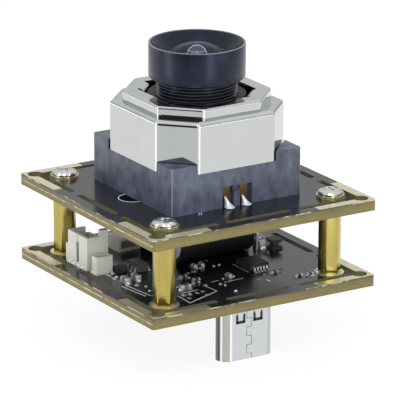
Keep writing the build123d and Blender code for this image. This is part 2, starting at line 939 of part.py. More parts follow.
def small_header_housing():
    x, y = small_header_corner
    length, width, height = small_header_size
    wall = small_header_wall
    foot, foot_height = small_header_foot
    body = slab((x, y, lower_top), (x + length, y + width, lower_top + height))
    body += slab((x - foot, y - foot, lower_top), (x + length, y + width + foot, lower_top + foot_height))
    floor = lower_top + 3 * foot_height
    return body - slab((x + wall, y + wall, floor), (x + length - wall, y + width - wall, lower_top + height))


def small_header_contacts():
    x, y = small_header_corner
    length, width, height = small_header_size
    floor = lower_top + 3 * small_header_foot[1]
    pins = []
    for offset in (-small_contact_pitch / 2, small_contact_pitch / 2):
        middle_x = x + length / 2 + offset
        middle_y = y + width / 2
        half = contact_width / 2
        low = (middle_x - half, middle_y - half, floor)
        high = (middle_x + half, middle_y + half, lower_top + height - small_contact_drop)
        pins.append(slab(low, high))
    return group(pins)


def rear_header_housing():
    """Low housing that opens along the board."""
    x, y = rear_header_corner
    length, width, height = rear_header_size
    wall = rear_header_wall
    body = slab((x, y, lower_top), (x + length, y + width, lower_top + height))
    low = (x + wall, y, lower_top + wall)
    high = (x + length - wall, y + width - 2 * wall, lower_top + height - wall)
    return body - slab(low, high)


def rear_header_contacts():
    x, y = rear_header_corner
    length, width, height = rear_header_size
    back = y + width - 2 * rear_header_wall
    level = lower_top + height / 2
    half = contact_width / 2
    pins = []
    front = y + rear_contact_inset
    for offset in (-rear_contact_pitch, 0, rear_contact_pitch):
        middle = x + length / 2 + offset
        pins.append(slab((middle - half, front, level - half), (middle + half, back, level + half)))
    return group(pins)


# Capacitor


def capacitor_axis_level():
    return lower_top + capacitor_radius


def along_capacitor(solid):
    """Moves a solid turned about Z so that its foot is the capacitor's plain end."""
    return Pos(capacitor_start_x, capacitor_y, capacitor_axis_level()) * Rot(0, 90, 0) * solid


def capacitor_can():
    """Drawn can, closed at one end and rolled in at the bung."""
    radius = capacitor_radius - capacitor_sleeve
    groove_start = capacitor_length - capacitor_bung_depth - capacitor_groove_width
    groove_end = groove_start + capacitor_groove_width
    groove_radius = radius - capacitor_groove_depth
    end = capacitor_length - capacitor_sleeve
    start = capacitor_sleeve
    outline = [(0, start), (radius, start), (radius, groove_start)]
    outline += [(groove_radius, groove_start + capacitor_groove_width / 2), (radius, groove_end)]
    outline += [(radius, end), (bung_radius(), end), (bung_radius(), end - capacitor_bung_depth)]
    outline += [(0, end - capacitor_bung_depth)]
    return along_capacitor(turned(outline))


def bung_radius():
    return capacitor_radius - capacitor_sleeve - capacitor_groove_depth - capacitor_bung_fit


def capacitor_bung():
    end = capacitor_length - capacitor_sleeve
    bung = disc(bung_radius(), end - capacitor_bung_depth, end)
    for side in (-1, 1):
        y = side * capacitor_lead_spacing / 2
        bung -= disc(capacitor_lead_radius, end - capacitor_bung_depth, end, 0, y)
    return along_capacitor(bung)


def capacitor_sleeve_tube():
    """Shrunk sleeve that curls over both ends."""
    inner = capacitor_radius - capacitor_sleeve
    lip = inner - capacitor_curl
    sleeve = disc(capacitor_radius, 0, capacitor_length)
    sleeve -= disc(inner, capacitor_sleeve, capacitor_length - capacitor_sleeve)
    return along_capacitor(sleeve - disc(lip, 0, capacitor_length))


def capacitor_lead_places():
    return [(lead_x, capacitor_y + side * capacitor_lead_spacing / 2) for side in (-1, 1)]


def capacitor_leads():
    """Two wires that leave the bung, turn down and pass through the board."""
    leads = []
    level = capacitor_axis_level()
    start_x = capacitor_start_x + capacitor_length - capacitor_sleeve - capacitor_bung_depth
    for x, y in capacitor_lead_places():
        bend = capacitor_lead_bend
        corners = [(start_x, y, level), (x - bend, y, level), (x, y, level - bend), (x, y, -lead_tail)]
        section = Plane(corners[0], x_dir=(0, 1, 0), z_dir=(1, 0, 0)) * Circle(capacitor_lead_radius)
        leads.append(sweep(section, path=Polyline(*corners), transition=Transition.RIGHT))
    return group(leads)


# Chips


def chip_body(centre, size, lift):
    x, y = centre
    length, width, height = size
    body = Pos(x, y, lower_top + lift + height / 2) * Box(length, width, height)
    return chamfer(body.edges().group_by(Axis.Z)[-1], chip_edge)


def gull_lead(width, reach, rise):
    """One bent lead that leaves its body at X = 0 and stands on Z = 0."""
    half = lead_thickness / 2
    knee = reach * lead_knee
    ankle = reach * lead_ankle
    outline = [(0, rise - half), (knee - half, rise - half), (ankle - half, 0), (reach, 0)]
    outline += [(reach, lead_thickness), (ankle + half, lead_thickness)]
    outline += [(knee + half, rise + half), (0, rise + half)]
    return extrude(Plane.XZ * Polygon(*outline, align=None), width / 2, both=True)


def lead_rows(centre, span, count, pitch, width, reach, rise, turn):
    """Two facing rows of bent leads."""
    lead = gull_lead(width, reach, rise)
    leads = []
    for side in (0, 180):
        for i in range(count):
            along = (i - (count - 1) / 2) * pitch
            placed = Pos(span / 2, along, 0) * lead
            leads.append(Pos(centre[0], centre[1], lower_top) * Rot(0, 0, turn + side) * placed)
    return group(leads)


def controller_chip():
    return chip_body(controller_centre, controller_size, chip_lift)


def controller_leads():
    rise = chip_lift + controller_size[2] / 2
    return lead_rows(
        controller_centre,
        controller_size[1],
        controller_lead_count,
        controller_lead_pitch,
        controller_lead_width,
        controller_lead_reach,
        rise,
        90,
    )


def regulator_chip():
    return chip_body(regulator_centre, regulator_size, chip_lift)


def regulator_leads():
    rise = chip_lift + regulator_size[2] / 2
    return lead_rows(
        regulator_centre,
        regulator_size[0],
        regulator_lead_count,
        regulator_lead_pitch,
        regulator_lead_width,
        regulator_lead_reach,
        rise,
        0,
    )


def image_processor():
    return chip_body(processor_centre, processor_size, 0)


def oscillator():
    """Ceramic base with a stepped metal lid."""
    x, y = oscillator_centre
    length, width, height = oscillator_size
    inset, lid_height = oscillator_lid
    base = Pos(x, y, lower_top + (height - lid_height) / 2) * Box(length, width, height - lid_height)
    lid_box = Box(length - 2 * inset, width - 2 * inset, lid_height)
    lid = Pos(x, y, lower_top + height - lid_height / 2) * lid_box
    lid = fillet(lid.edges().filter_by(Axis.Z), oscillator_lid_radius)
    return base + lid


def power_inductor():
    """Drum core: two square flanges on a narrower waist."""
    x, y = inductor_centre
    length, width, height = inductor_size
    flange = Pos(0, 0, inductor_flange / 2) * Box(length, width, inductor_flange)
    flange = fillet(flange.edges().filter_by(Axis.Z), inductor_corner_radius)
    waist = disc(min(length, width) / 2 - inductor_waist_inset, 0, height)
    return Pos(x, y, lower_top) * (flange + Pos(0, 0, height - inductor_flange) * flange + waist)


def small_diode():
    return chip_body(diode_centre, diode_size, 0)


def small_parts(places):
    return group([chip_body(at[:2], at[2:], 0) for at in places])


def ceramic_capacitors():
    return small_parts(ceramic_capacitors_at + ((*bypass_centre, *bypass_size),))


def chip_resistors():
    return small_parts(chip_resistors_at)


# Board-to-board link


def link_block(low, high):
    x, y = link_centre
    corner_low = (x - link_length / 2, y - link_width / 2, low)
    corner_high = (x + link_length / 2, y + link_width / 2, high)
    return slab(corner_low, corner_high)


def link_pin_places():
    places = []
    for i in range(link_pin_count):
        x = link_centre[0] + (i - (link_pin_count - 1) / 2) * link_pin_pitch
        for side in (-1, 1):
            places.append((x, link_centre[1] + side * link_pin_pitch / 2))
    return places


def link_pin(place, size, low, high):
    x, y = place
    return slab((x - size / 2, y - size / 2, low), (x + size / 2, y + size / 2, high))


def link_socket():
    top = lower_top + link_socket_height
    socket = link_block(lower_top, top)
    size = link_pin_size + 2 * link_pin_clearance
    holes = [link_pin(place, size, top - link_pin_depth, top) for place in link_pin_places()]
    return socket - holes


def link_plug():
    plug = link_block(upper_bottom - link_plug_height, upper_bottom)
    low = upper_bottom - link_plug_height
    return plug - [link_pin(place, link_pin_size, low, upper_bottom) for place in link_pin_places()]


def link_pins():
    low = lower_top + link_socket_height - link_pin_depth + link_pin_end_gap
    return group([link_pin(place, link_pin_size, low, upper_bottom) for place in link_pin_places()])


def nodes():
    """Every separate piece of the module under its node name."""
    return {
        "lower_board": lower_board(),
        "upper_board": upper_board(),
        "standoffs": group([Pos(x, y) * standoff() for x, y in corner_places()]),
        "top_screws": group([Pos(x, y) * top_screw() for x, y in corner_places()]),
        "screw_washers": group([Pos(x, y) * screw_washer() for x, y in corner_places()]),
        "motor_base": motor_base(),
        "motor_can": motor_can(),
        "motor_magnets": motor_magnets(),
        "motor_coil": motor_coil(),
        "lens_carrier": lens_carrier(),
        "upper_leaf_spring": upper_leaf_spring(),
        "upper_spring_frame": upper_spring_frame(),
        "lower_leaf_spring": lower_leaf_spring(),
        "coil_terminals": coil_terminals(),
        "terminal_solder": terminal_solder(),
        "lens_barrel": lens_barrel(),
        "lens_retaining_ring": lens_retaining_ring(),
        "front_lens_element": front_lens_element(),
        "second_lens_element": second_lens_element(),
        "rear_lens_element": rear_lens_element(),
        "front_spacer": front_spacer(),
        "rear_spacer": rear_spacer(),
        "aperture_stop": aperture_stop(),
        "ir_filter": ir_filter(),
        "sensor_package": sensor_package(),
        "sensor_die": sensor_die(),
        "sensor_cover_glass": sensor_cover_glass(),
        "usb_shell": usb_shell(),
        "usb_tongue": usb_tongue(),
        "usb_contacts": usb_contacts(),
        "tall_header_housing": tall_header_housing(),
        "tall_header_contacts": tall_header_contacts(),
        "small_header_housing": small_header_housing(),
        "small_header_contacts": small_header_contacts(),
        "rear_header_housing": rear_header_housing(),
        "rear_header_contacts": rear_header_contacts(),
        "capacitor_can": capacitor_can(),
        "capacitor_bung": capacitor_bung(),
        "capacitor_sleeve": capacitor_sleeve_tube(),
        "capacitor_leads": capacitor_leads(),
        "controller_chip": controller_chip(),
        "controller_leads": controller_leads(),
        "regulator_chip": regulator_chip(),
        "regulator_leads": regulator_leads(),
        "image_processor": image_processor(),
        "oscillator": oscillator(),
        "power_inductor": power_inductor(),
        "small_diode": small_diode(),
        "ceramic_capacitors": ceramic_capacitors(),
        "chip_resistors": chip_resistors(),
        "link_socket": link_socket(),
        "link_plug": link_plug(),
        "link_pins": link_pins(),
    }


os.makedirs("parts", exist_ok=True)
for name, shape in nodes().items():
    export_step(shape, f"parts/{name}.step")
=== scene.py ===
# %% [markdown]
# A two-board autofocus camera module, dressed for its picture.
#
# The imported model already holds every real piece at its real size. This lesson leaves those
# pieces where they are, gives each one the finish of its real material, and adds the fine things
# that are too small for the solids: the lens thread, gilt pads, printed marks and solder.

# %% Load the frame
import math

import bpy
from mathutils import Euler, Matrix, Vector


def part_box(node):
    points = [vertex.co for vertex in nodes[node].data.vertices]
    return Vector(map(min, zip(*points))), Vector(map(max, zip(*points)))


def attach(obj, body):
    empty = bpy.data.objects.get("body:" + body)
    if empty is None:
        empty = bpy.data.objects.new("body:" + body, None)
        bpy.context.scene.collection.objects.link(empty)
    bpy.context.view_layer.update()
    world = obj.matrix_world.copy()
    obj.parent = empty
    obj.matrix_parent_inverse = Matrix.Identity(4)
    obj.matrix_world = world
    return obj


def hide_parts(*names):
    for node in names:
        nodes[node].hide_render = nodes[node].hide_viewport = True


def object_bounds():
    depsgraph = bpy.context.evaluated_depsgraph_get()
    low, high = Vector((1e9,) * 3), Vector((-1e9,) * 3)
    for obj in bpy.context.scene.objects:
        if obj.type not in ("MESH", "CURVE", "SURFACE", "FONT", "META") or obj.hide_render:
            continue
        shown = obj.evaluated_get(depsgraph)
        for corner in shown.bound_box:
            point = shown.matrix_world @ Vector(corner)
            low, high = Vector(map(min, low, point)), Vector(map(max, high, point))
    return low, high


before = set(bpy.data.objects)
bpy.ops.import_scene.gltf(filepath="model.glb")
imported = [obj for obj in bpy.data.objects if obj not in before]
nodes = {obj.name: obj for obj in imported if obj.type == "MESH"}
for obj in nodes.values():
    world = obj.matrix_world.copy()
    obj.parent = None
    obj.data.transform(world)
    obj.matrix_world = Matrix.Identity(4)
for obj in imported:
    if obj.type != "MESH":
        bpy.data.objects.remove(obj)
cad_low, cad_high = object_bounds()
MM = 0.001
print("CAD box in mm:", [round(v / MM, 2) for v in (*cad_low, *cad_high)])

# %% [markdown]
# Three small helpers carry the whole file. One turns the hex colours that people write into the
# linear light that shaders count in. One adds a shader node, sets what is fixed on it and links
# what varies, so that a material reads as a short list. One starts an empty material.

# %% Colour and node helpers
MIX_A = 6  # the Mix node has an A and a B for each kind of data: these two are the colours
MIX_B = 7
WHITE = (1, 1, 1, 1)


def linear(hex_colour):
    """Linear RGBA from an sRGB hex colour."""
    channels = [int(hex_colour[i:i + 2], 16) / 255 for i in (1, 3, 5)]
    straight = [c / 12.92 if c <= 0.04045 else ((c + 0.055) / 1.055) ** 2.4 for c in channels]
    return (*straight, 1.0)


def add(tree, kind, inputs=None, **settings):
    """Adds one node. An input takes a value, another node's output, or a node for its main output."""
    node = tree.nodes.new(kind)
    for name, value in settings.items():
        setattr(node, name, value)
    for name, value in (inputs or {}).items():
        if isinstance(value, bpy.types.Node):
            value = next(socket for socket in value.outputs if socket.enabled)
        if isinstance(value, bpy.types.NodeSocket):
            tree.links.new(value, node.inputs[name])
        else:
            node.inputs[name].default_value = value
    return node


def new_material(name):
    """An empty material, its node tree, and the point on the piece that its patterns read."""
    material = bpy.data.materials.new(name)
    material.use_nodes = True
    tree = material.node_tree
    tree.nodes.clear()
    return material, tree, add(tree, "ShaderNodeTexCoord").outputs["Object"]


# %% [markdown]
# The camera stands a long way off behind a long lens, to the left of the front corner and a
# little above the boards, because the boards' edges run almost parallel in the picture. Its
# place was found by fitting known corners of the boards. A tiny roll levels the horizon.

# %% Camera
VIEW_TARGET = Vector((7.241, 10.559, 7.0)) * MM
VIEW_AZIMUTH = math.radians(-32.038)
VIEW_ELEVATION = math.radians(17.638)
VIEW_ROLL = math.radians(0.274)
VIEW_DISTANCE = 573.59 * MM
LENS_MM = 343.12


def set_camera():
    data = bpy.data.cameras.new("view_camera")
    data.lens = LENS_MM
    camera = bpy.data.objects.new("view_camera", data)
    bpy.context.scene.collection.objects.link(camera)
    turn = Euler((math.pi / 2 - VIEW_ELEVATION, 0, VIEW_AZIMUTH)).to_matrix()
    turn = turn @ Matrix.Rotation(VIEW_ROLL, 3, "Z")
    camera.location = VIEW_TARGET + turn @ Vector((0, 0, VIEW_DISTANCE))
    camera.rotation_euler = turn.to_euler()
    bpy.context.scene.camera = camera
    print("camera at", [round(v / MM, 1) for v in camera.location])


set_camera()

# %% [markdown]
# Polished metal has no colour of its own to show: it shows the room. So the room is part of the
# finish. Here it is a soft white tent, brighter overhead and dim along the horizon, with two grey
# panels that the can's side bends mirror, each with a bright foot for the white line below. They
# could be planes, but two directions in the world's own nodes cost nothing and light evenly. The
# camera itself sees plain white.

# %% White tent
TENT_COLOUR = "#F8FAFA"
TENT_LOW = 0.56
TENT_HIGH = 0.95
TENT_RISE = (-0.1, 0.9)
HORIZON_LEVEL = 0.4
HORIZON_HEIGHT = 0.09
HORIZON_HALF = 0.05
PANEL_FACINGS = (Vector((-0.58, 0.81, 0.0)).normalized(), Vector((0.53, -0.85, 0.0)).normalized())
PANEL_HALF_ANGLE = math.radians(15)
PANEL_TOP = 0.26
PANEL_LEVEL = 0.42
PANEL_FOOT = 0.1
PANEL_FOOT_LEVEL = 6.0


def set_world():
    world = bpy.data.worlds.new("white_tent")
    world.use_nodes = True
    bpy.context.scene.world = world
    tree = world.node_tree
    tree.nodes.clear()
    way = add(tree, "ShaderNodeTexCoord").outputs["Generated"]
    height = add(tree, "ShaderNodeSeparateXYZ", {"Vector": way}).outputs["Z"]
    rise = add(tree, "ShaderNodeMapRange", {
        "Value": height, "From Min": TENT_RISE[0], "From Max": TENT_RISE[1],
        "To Min": TENT_LOW, "To Max": TENT_HIGH,
    })
    near_horizon = add(tree, "ShaderNodeMath", {
        0: height, 1: HORIZON_HEIGHT, 2: HORIZON_HALF,
    }, operation="COMPARE")
    horizon = add(tree, "ShaderNodeMapRange", {"Value": near_horizon, "To Min": 1.0, "To Max": HORIZON_LEVEL})
    level = add(tree, "ShaderNodeMath", {0: rise, 1: horizon}, operation="MULTIPLY")
    flat = add(tree, "ShaderNodeVectorMath", {0: way, 1: (1, 1, 0)}, operation="MULTIPLY")
    compass = add(tree, "ShaderNodeVectorMath", {0: flat}, operation="NORMALIZE")
    below_top = add(tree, "ShaderNodeMath", {0: height, 1: PANEL_TOP}, operation="LESS_THAN")
    at_foot = add(tree, "ShaderNodeMath", {0: height, 1: PANEL_FOOT}, operation="LESS_THAN")
    panel = add(tree, "ShaderNodeMapRange", {
        "Value": at_foot, "To Min": PANEL_LEVEL, "To Max": PANEL_FOOT_LEVEL,
    })
    for facing in PANEL_FACINGS:
        aim = add(tree, "ShaderNodeVectorMath", {0: compass, 1: facing}, operation="DOT_PRODUCT")
        across = add(tree, "ShaderNodeMath", {
            0: aim, 1: math.cos(PANEL_HALF_ANGLE),
        }, operation="GREATER_THAN")
        inside = add(tree, "ShaderNodeMath", {0: across, 1: below_top}, operation="MULTIPLY")
        dim = add(tree, "ShaderNodeMapRange", {"Value": inside, "To Min": 1.0, "To Max": panel})
        level = add(tree, "ShaderNodeMath", {0: level, 1: dim}, operation="MULTIPLY")
    tent = add(tree, "ShaderNodeBackground", {"Color": linear(TENT_COLOUR), "Strength": level})
    plain = add(tree, "ShaderNodeBackground", {"Color": WHITE, "Strength": 1.0})
    seen = add(tree, "ShaderNodeLightPath").outputs["Is Camera Ray"]
    mix = add(tree, "ShaderNodeMixShader", {0: seen, 1: tent, 2: plain})
    add(tree, "ShaderNodeOutputWorld", {"Surface": mix})
    print("world:", world.name)


set_world()

# %% [markdown]
# The floor is a sheet of white paper. Lit plainly it would render a light grey, and more light
# would bleach the object. So the paper glows a little where the camera looks at it, is plain
# white where metal mirrors it, and is ordinary paper for all other light.

# %% Paper floor
PAPER_COLOUR = "#F4F5F6"
PAPER_SHADE = "#5E6064"
PAPER_GLOW = 0.9
PAPER_FIBRES = 900.0
PAPER_DEPTH = 0.02
FLOOR_SIZE = 3.0
FLOOR_GAP = 0.02


def floor_paper():
    material, tree, point = new_material("white_paper_sweep")
    fibre = add(tree, "ShaderNodeTexNoise", {"Vector": point, "Scale": PAPER_FIBRES})
    relief = add(tree, "ShaderNodeBump", {"Height": fibre, "Distance": PAPER_DEPTH * MM})
    paper = add(tree, "ShaderNodeBsdfDiffuse", {"Color": linear(PAPER_COLOUR), "Normal": relief})
    shade = add(tree, "ShaderNodeBsdfDiffuse", {"Color": linear(PAPER_SHADE)})
    glow = add(tree, "ShaderNodeEmission", {"Color": WHITE, "Strength": PAPER_GLOW})
    lifted = add(tree, "ShaderNodeAddShader", {0: shade, 1: glow})
    mirrored = add(tree, "ShaderNodeEmission", {"Color": WHITE, "Strength": 1.0})
    path = add(tree, "ShaderNodeLightPath")
    to_camera = add(tree, "ShaderNodeMixShader", {0: path.outputs["Is Camera Ray"], 1: paper, 2: lifted})
    to_mirror = add(tree, "ShaderNodeMixShader", {
        0: path.outputs["Is Glossy Ray"], 1: to_camera, 2: mirrored,
    })
    add(tree, "ShaderNodeOutputMaterial", {"Surface": to_mirror})
    return material


def set_floor():
    bpy.ops.object.select_all(action="DESELECT")
    bpy.ops.mesh.primitive_plane_add(size=FLOOR_SIZE, location=(0, 0, cad_low[2] - FLOOR_GAP * MM))
    floor = bpy.context.object
    floor.name = "paper_floor"
    floor.data.materials.append(floor_paper())
    print("floor at", round(floor.location.z / MM, 2), "mm")


set_floor()

# %% [markdown]
# A photographer stands cards and flags round shiny metal, because a mirror edge shows only
# against something of another tone. A pale grey card lies before the can's front, a narrow black
# flag draws the dark line in its front chamfer, and a bright strip on each side gives the folds
# their white lines. Only mirrors see them, so they neither light nor shade the object.

# %% Cards and flag
FRONT_FACING = Vector((-0.85, -0.53, 0.0)).normalized()
GREY_CARD_PLACE = (-96, -63)
GREY_CARD_SIZE = (70, 70)
FLAG_START = Vector((-7.6, -7.6, 25.0))
FLAG_DISTANCE = 60
FLAG_SIZE = (43, 12)
FLAG_RISE = 14
FLAG_LEVEL = 0.03
STRIP_DISTANCE = 80
STRIP_SIZE = (100, 26)
STRIP_TURNS = (math.radians(171), math.radians(269))
STRIP_LEVEL = 3.0


def mirror_card(name, colour, level, place, size, turn):
    material, tree, _ = new_material(name)
    face = add(tree, "ShaderNodeEmission", {"Color": linear(colour), "Strength": level})
    add(tree, "ShaderNodeOutputMaterial", {"Surface": face})
    bpy.ops.object.select_all(action="DESELECT")
    bpy.ops.mesh.primitive_plane_add(size=1, location=[c * MM for c in place], rotation=turn)
    card = bpy.context.object
    card.name = name
    card.scale = (size[0] * MM, size[1] * MM, 1)
    card.data.materials.append(material)
    card.visible_camera = False
    card.visible_diffuse = False
    card.visible_shadow = False
    print(name, "at", [round(c) for c in place], "mm")


def set_cards():
    floor = cad_low[2] / MM
    upright = math.pi / 2
    facing = math.atan2(FRONT_FACING.y, FRONT_FACING.x)
    mirror_card("grey_card", "#E2E4E2", 1.0, (*GREY_CARD_PLACE, floor + 0.5), GREY_CARD_SIZE, (0, 0, facing))
    flag = FLAG_START + FRONT_FACING * FLAG_DISTANCE + Vector((0, 0, FLAG_RISE))
    mirror_card("black_flag", "#FFFFFF", FLAG_LEVEL, flag, FLAG_SIZE, (0, upright, facing))
    for index, turn in enumerate(STRIP_TURNS):
        x, y = STRIP_DISTANCE * math.cos(turn), STRIP_DISTANCE * math.sin(turn)
        place = (x, y, floor + STRIP_SIZE[0] / 2 + 1)
        mirror_card(f"strip_{index}", "#FFFFFF", STRIP_LEVEL, place, STRIP_SIZE, (0, upright, turn))


set_cards()

# %% [markdown]
# Five large soft lamps light the object plainly from all round. Large lamps give soft shadows,
# and only the key is let into the mirrors, so that the metal isn't covered with bright squares.

# %% Lamps
LAMP_DISTANCE = 0.8
LAMPS = (
    ("key_softbox", (-0.55, -0.75, 1.1), 0.26, 1.0, "#FFFFFF", True),
    ("side_softbox", (0.95, -0.5, 0.75), 0.22, 0.7, "#FFFDF8", False),
    ("back_softbox", (-0.2, 1.0, 0.9), 0.30, 0.6, "#FAFCFF", False),
    ("front_fill", (0.45, -1.0, 0.16), 0.30, 1.1, "#F6F9FF", False),
    ("left_fill", (-1.0, -0.45, 0.16), 0.30, 0.9, "#F6F9FF", False),
)

for name, direction, size, power, colour, mirrored in LAMPS:
    data = bpy.data.lights.new(name, "AREA")
    data.size = size
    data.energy = power
    data.color = linear(colour)[:3]
    lamp = bpy.data.objects.new(name, data)
    bpy.context.scene.collection.objects.link(lamp)
    lamp.location = Vector(direction).normalized() * LAMP_DISTANCE
    lamp.rotation_euler = lamp.location.to_track_quat("Z", "Y").to_euler()
    lamp.visible_glossy = mirrored
    print(name, power, "W")

# %% [markdown]
# Most finishes here are one base colour with the small unevenness that its making leaves. A
# moulded face has fine grain, a rolled sheet has long faint streaks, a plated one has haze. The
# helper below builds that: one noise at a real size in millimetres varies the colour and the
# roughness a little and lifts the surface by a real depth. A flat colour would look like paint.

# %% Finish helper
NOISE_MIDDLE = (0.3, 0.7)


def finish(name, colour, second, roughness, spread, grain, depth, metallic=0.0, stretch=(1, 1, 1)):
    """A material with two close colours, uneven roughness and a fine relief.

    grain is the size of the unevenness and depth its height, both in millimetres.
    """
    material, tree, point = new_material(name)
    stretched = add(tree, "ShaderNodeMapping", {"Vector": point, "Scale": stretch})
    noise = add(tree, "ShaderNodeTexNoise", {
        "Vector": stretched, "Scale": 1 / (grain * MM), "Detail": 4.0,
    })
    tone = add(tree, "ShaderNodeMix", {
        "Factor": noise, MIX_A: linear(colour), MIX_B: linear(second),
    }, data_type="RGBA")
    uneven = add(tree, "ShaderNodeMapRange", {
        "Value": noise, "From Min": NOISE_MIDDLE[0], "From Max": NOISE_MIDDLE[1],
        "To Min": roughness - spread, "To Max": roughness + spread,
    })
    relief = add(tree, "ShaderNodeBump", {"Height": noise, "Distance": depth * MM})
    shader = add(tree, "ShaderNodeBsdfPrincipled", {
        "Base Color": tone, "Roughness": uneven, "Normal": relief, "Metallic": metallic,
    })
    add(tree, "ShaderNodeOutputMaterial", {"Surface": shader})
    return material


def set_stops(ramp, stops):
    """Gives a colour ramp its (place, hex colour) stops."""
    elements = ramp.color_ramp.elements
    while len(elements) < len(stops):
        elements.new(0.5)
    for element, (place, colour) in zip(elements, stops):
        element.position = place
        element.color = linear(colour)


def dress(material, *names):
    """Gives CAD nodes a finish through their material slots."""
    for name in names:
        for slot in nodes[name].material_slots:
            slot.material = material
    print(material.name, "on", ", ".join(names))


# %% [markdown]
# The boards are glass-fibre laminate under black solder mask. The mask is a thin glossy lacquer,
# poured on and baked: it is smooth, but the woven glass under it just lifts it. A noise at the
# pitch of the weave shows as much as an exact weave would at this size.

# %% Solder mask
MASK_COLOUR = "#10131A"
MASK_SECOND = "#191D26"
WEAVE_PITCH = 0.45
WEAVE_DEPTH = 0.012
MASK_CLOUD = 6


def mask_shader(tree, point):
    cloth = add(tree, "ShaderNodeTexNoise", {"Vector": point, "Scale": 1 / (WEAVE_PITCH * MM), "Detail": 3.0})
    cloud = add(tree, "ShaderNodeTexNoise", {"Vector": point, "Scale": 1 / (MASK_CLOUD * MM), "Detail": 2.0})
    tone = add(tree, "ShaderNodeMix", {
        "Factor": cloud, MIX_A: linear(MASK_COLOUR), MIX_B: linear(MASK_SECOND),
    }, data_type="RGBA")
    relief = add(tree, "ShaderNodeBump", {"Height": cloth, "Distance": WEAVE_DEPTH * MM})
    return add(tree, "ShaderNodeBsdfPrincipled", {
        "Base Color": tone, "Roughness": 0.2, "IOR": 1.62, "Normal": relief,
    })


# %% [markdown]
# The mask covers only the flat faces, so the cut edge shows the laminate: olive gold in thin
# layers, with brown where the router warmed it, and darker at both arrises. The layers are a
# noise squeezed along Z, and a colour ramp over the height gives the bands. The two sides along Y
# were scored and snapped; the bright broken line half way up them is a painted highlight, and the
# upper arris carries painted glints between dark nicks.

# %% Laminate edge
LAMINATE_LIGHT = "#887D3A"
LAMINATE_BROWN = "#6C5A48"
LAMINATE_DARK = "#4E452F"
LAMINATE_PAINTED_GLINT = "#E9DFB0"
EDGE_BANDS = (
    (0.0, "#463F28"), (0.1, "#6E6431"), (0.36, "#7D7236"), (0.5, "#766A3C"),
    (0.82, "#675C40"), (0.9, "#463F2C"), (1.0, "#5C5238"),
)
BAND_SHARE = 0.6
BAND_WANDER = 0.3
BOARD_THICKNESS = 1.6
SCORE_HEIGHT = 0.78
SCORE_HALF = 0.07
FLECK_SIZE = 1.6
NICK_SIZE = 2.2
ARRIS_DEPTH = (0.14, 0.06)


def layered_tone(tree, level, layers, scorch):
    """Olive and brown layers, with a band of colour for each height in the board."""
    blend = add(tree, "ShaderNodeMath", {0: layers, 1: scorch}, operation="MULTIPLY")
    amount = add(tree, "ShaderNodeMapRange", {"Value": blend, "From Min": 0.14, "From Max": 0.4})
    mottled = add(tree, "ShaderNodeMix", {
        "Factor": amount, MIX_A: linear(LAMINATE_LIGHT), MIX_B: linear(LAMINATE_BROWN),
    }, data_type="RGBA")
    wander = add(tree, "ShaderNodeMath", {0: scorch, 1: BAND_WANDER * MM, 2: level}, operation="MULTIPLY_ADD")
    full = (BOARD_THICKNESS + BAND_WANDER / 2) * MM
    share = add(tree, "ShaderNodeMath", {0: wander, 1: full}, operation="DIVIDE")
    band = add(tree, "ShaderNodeValToRGB", {"Fac": share})
    set_stops(band, EDGE_BANDS)
    return add(tree, "ShaderNodeMix", {"Factor": BAND_SHARE, MIX_A: mottled, MIX_B: band}, data_type="RGBA")


def score_line_painted_highlight(tree, point, level, ground):
    """The ground with a painted highlight: a bright line, in flecks, half way up the sides that face X, where
    the board was snapped off.
    """
    near = add(tree, "ShaderNodeMath", {
        0: level, 1: SCORE_HEIGHT * MM, 2: SCORE_HALF * MM,
    }, operation="COMPARE")
    normal = add(tree, "ShaderNodeNewGeometry").outputs["True Normal"]
    sideways = add(tree, "ShaderNodeSeparateXYZ", {"Vector": normal}).outputs["X"]
    straight = add(tree, "ShaderNodeMath", {0: sideways}, operation="ABSOLUTE")
    on_side = add(tree, "ShaderNodeMath", {0: straight, 1: 0.8}, operation="GREATER_THAN")
    fleck = add(tree, "ShaderNodeTexNoise", {"Vector": point, "Scale": 1 / (FLECK_SIZE * MM), "Detail": 5.0})
    flecked = add(tree, "ShaderNodeMapRange", {"Value": fleck, "From Min": 0.3, "From Max": 0.6})
    score = add(tree, "ShaderNodeMath", {0: near, 1: on_side}, operation="MULTIPLY")
    broken = add(tree, "ShaderNodeMath", {0: score, 1: flecked}, operation="MULTIPLY")
    return add(tree, "ShaderNodeMix", {
        "Factor": broken, MIX_A: ground, MIX_B: linear(LAMINATE_PAINTED_GLINT),
    }, data_type="RGBA")


def arris_painted_glints(tree, point, level, ground):
    """The ground with painted glints, painted highlights, between dark nicks along the upper arris."""
    arris = add(tree, "ShaderNodeMapRange", {
        "Value": level, "From Min": (BOARD_THICKNESS - ARRIS_DEPTH[0]) * MM,
        "From Max": (BOARD_THICKNESS - ARRIS_DEPTH[1]) * MM,
    })
    nick = add(tree, "ShaderNodeTexNoise", {"Vector": point, "Scale": 1 / (NICK_SIZE * MM), "Detail": 5.0})
    glint = add(tree, "ShaderNodeMapRange", {"Value": nick, "From Min": 0.52, "From Max": 0.6})
    edge_wear_and_highlight = add(tree, "ShaderNodeMix", {
        "Factor": glint, MIX_A: linear(LAMINATE_DARK), MIX_B: linear(LAMINATE_PAINTED_GLINT),
    }, data_type="RGBA")
    return add(tree, "ShaderNodeMix", {"Factor": arris, MIX_A: ground, MIX_B: edge_wear_and_highlight}, data_type="RGBA")


# %% [markdown]
# One material does the whole board. It asks which way the face points: up or down is mask, and
# all else is cut laminate. The walls of slots are a darker grey olive, and the walls of the holes
# are near black, a painted shade for the dark inside of each hole. How far out a point lies tells
# them from the outer edge. Two materials on two sets of faces would do the same, but the solid's
# own mesh stays as it is here.

# %% Board finish
SLOT_WALL = "#6C684C"
HOLE_PAINTED_SHADE = "#08080A"
OUTER_WALL = 18.6
HOLE_REACH = 15.6
BOARD_PITCH = 11.6
LAYER_PITCH = 0.18
LAYER_DEPTH = 0.03
LAYER_SQUEEZE = (0.12, 0.12, 1.0)
SCORCH_SIZE = 3.5


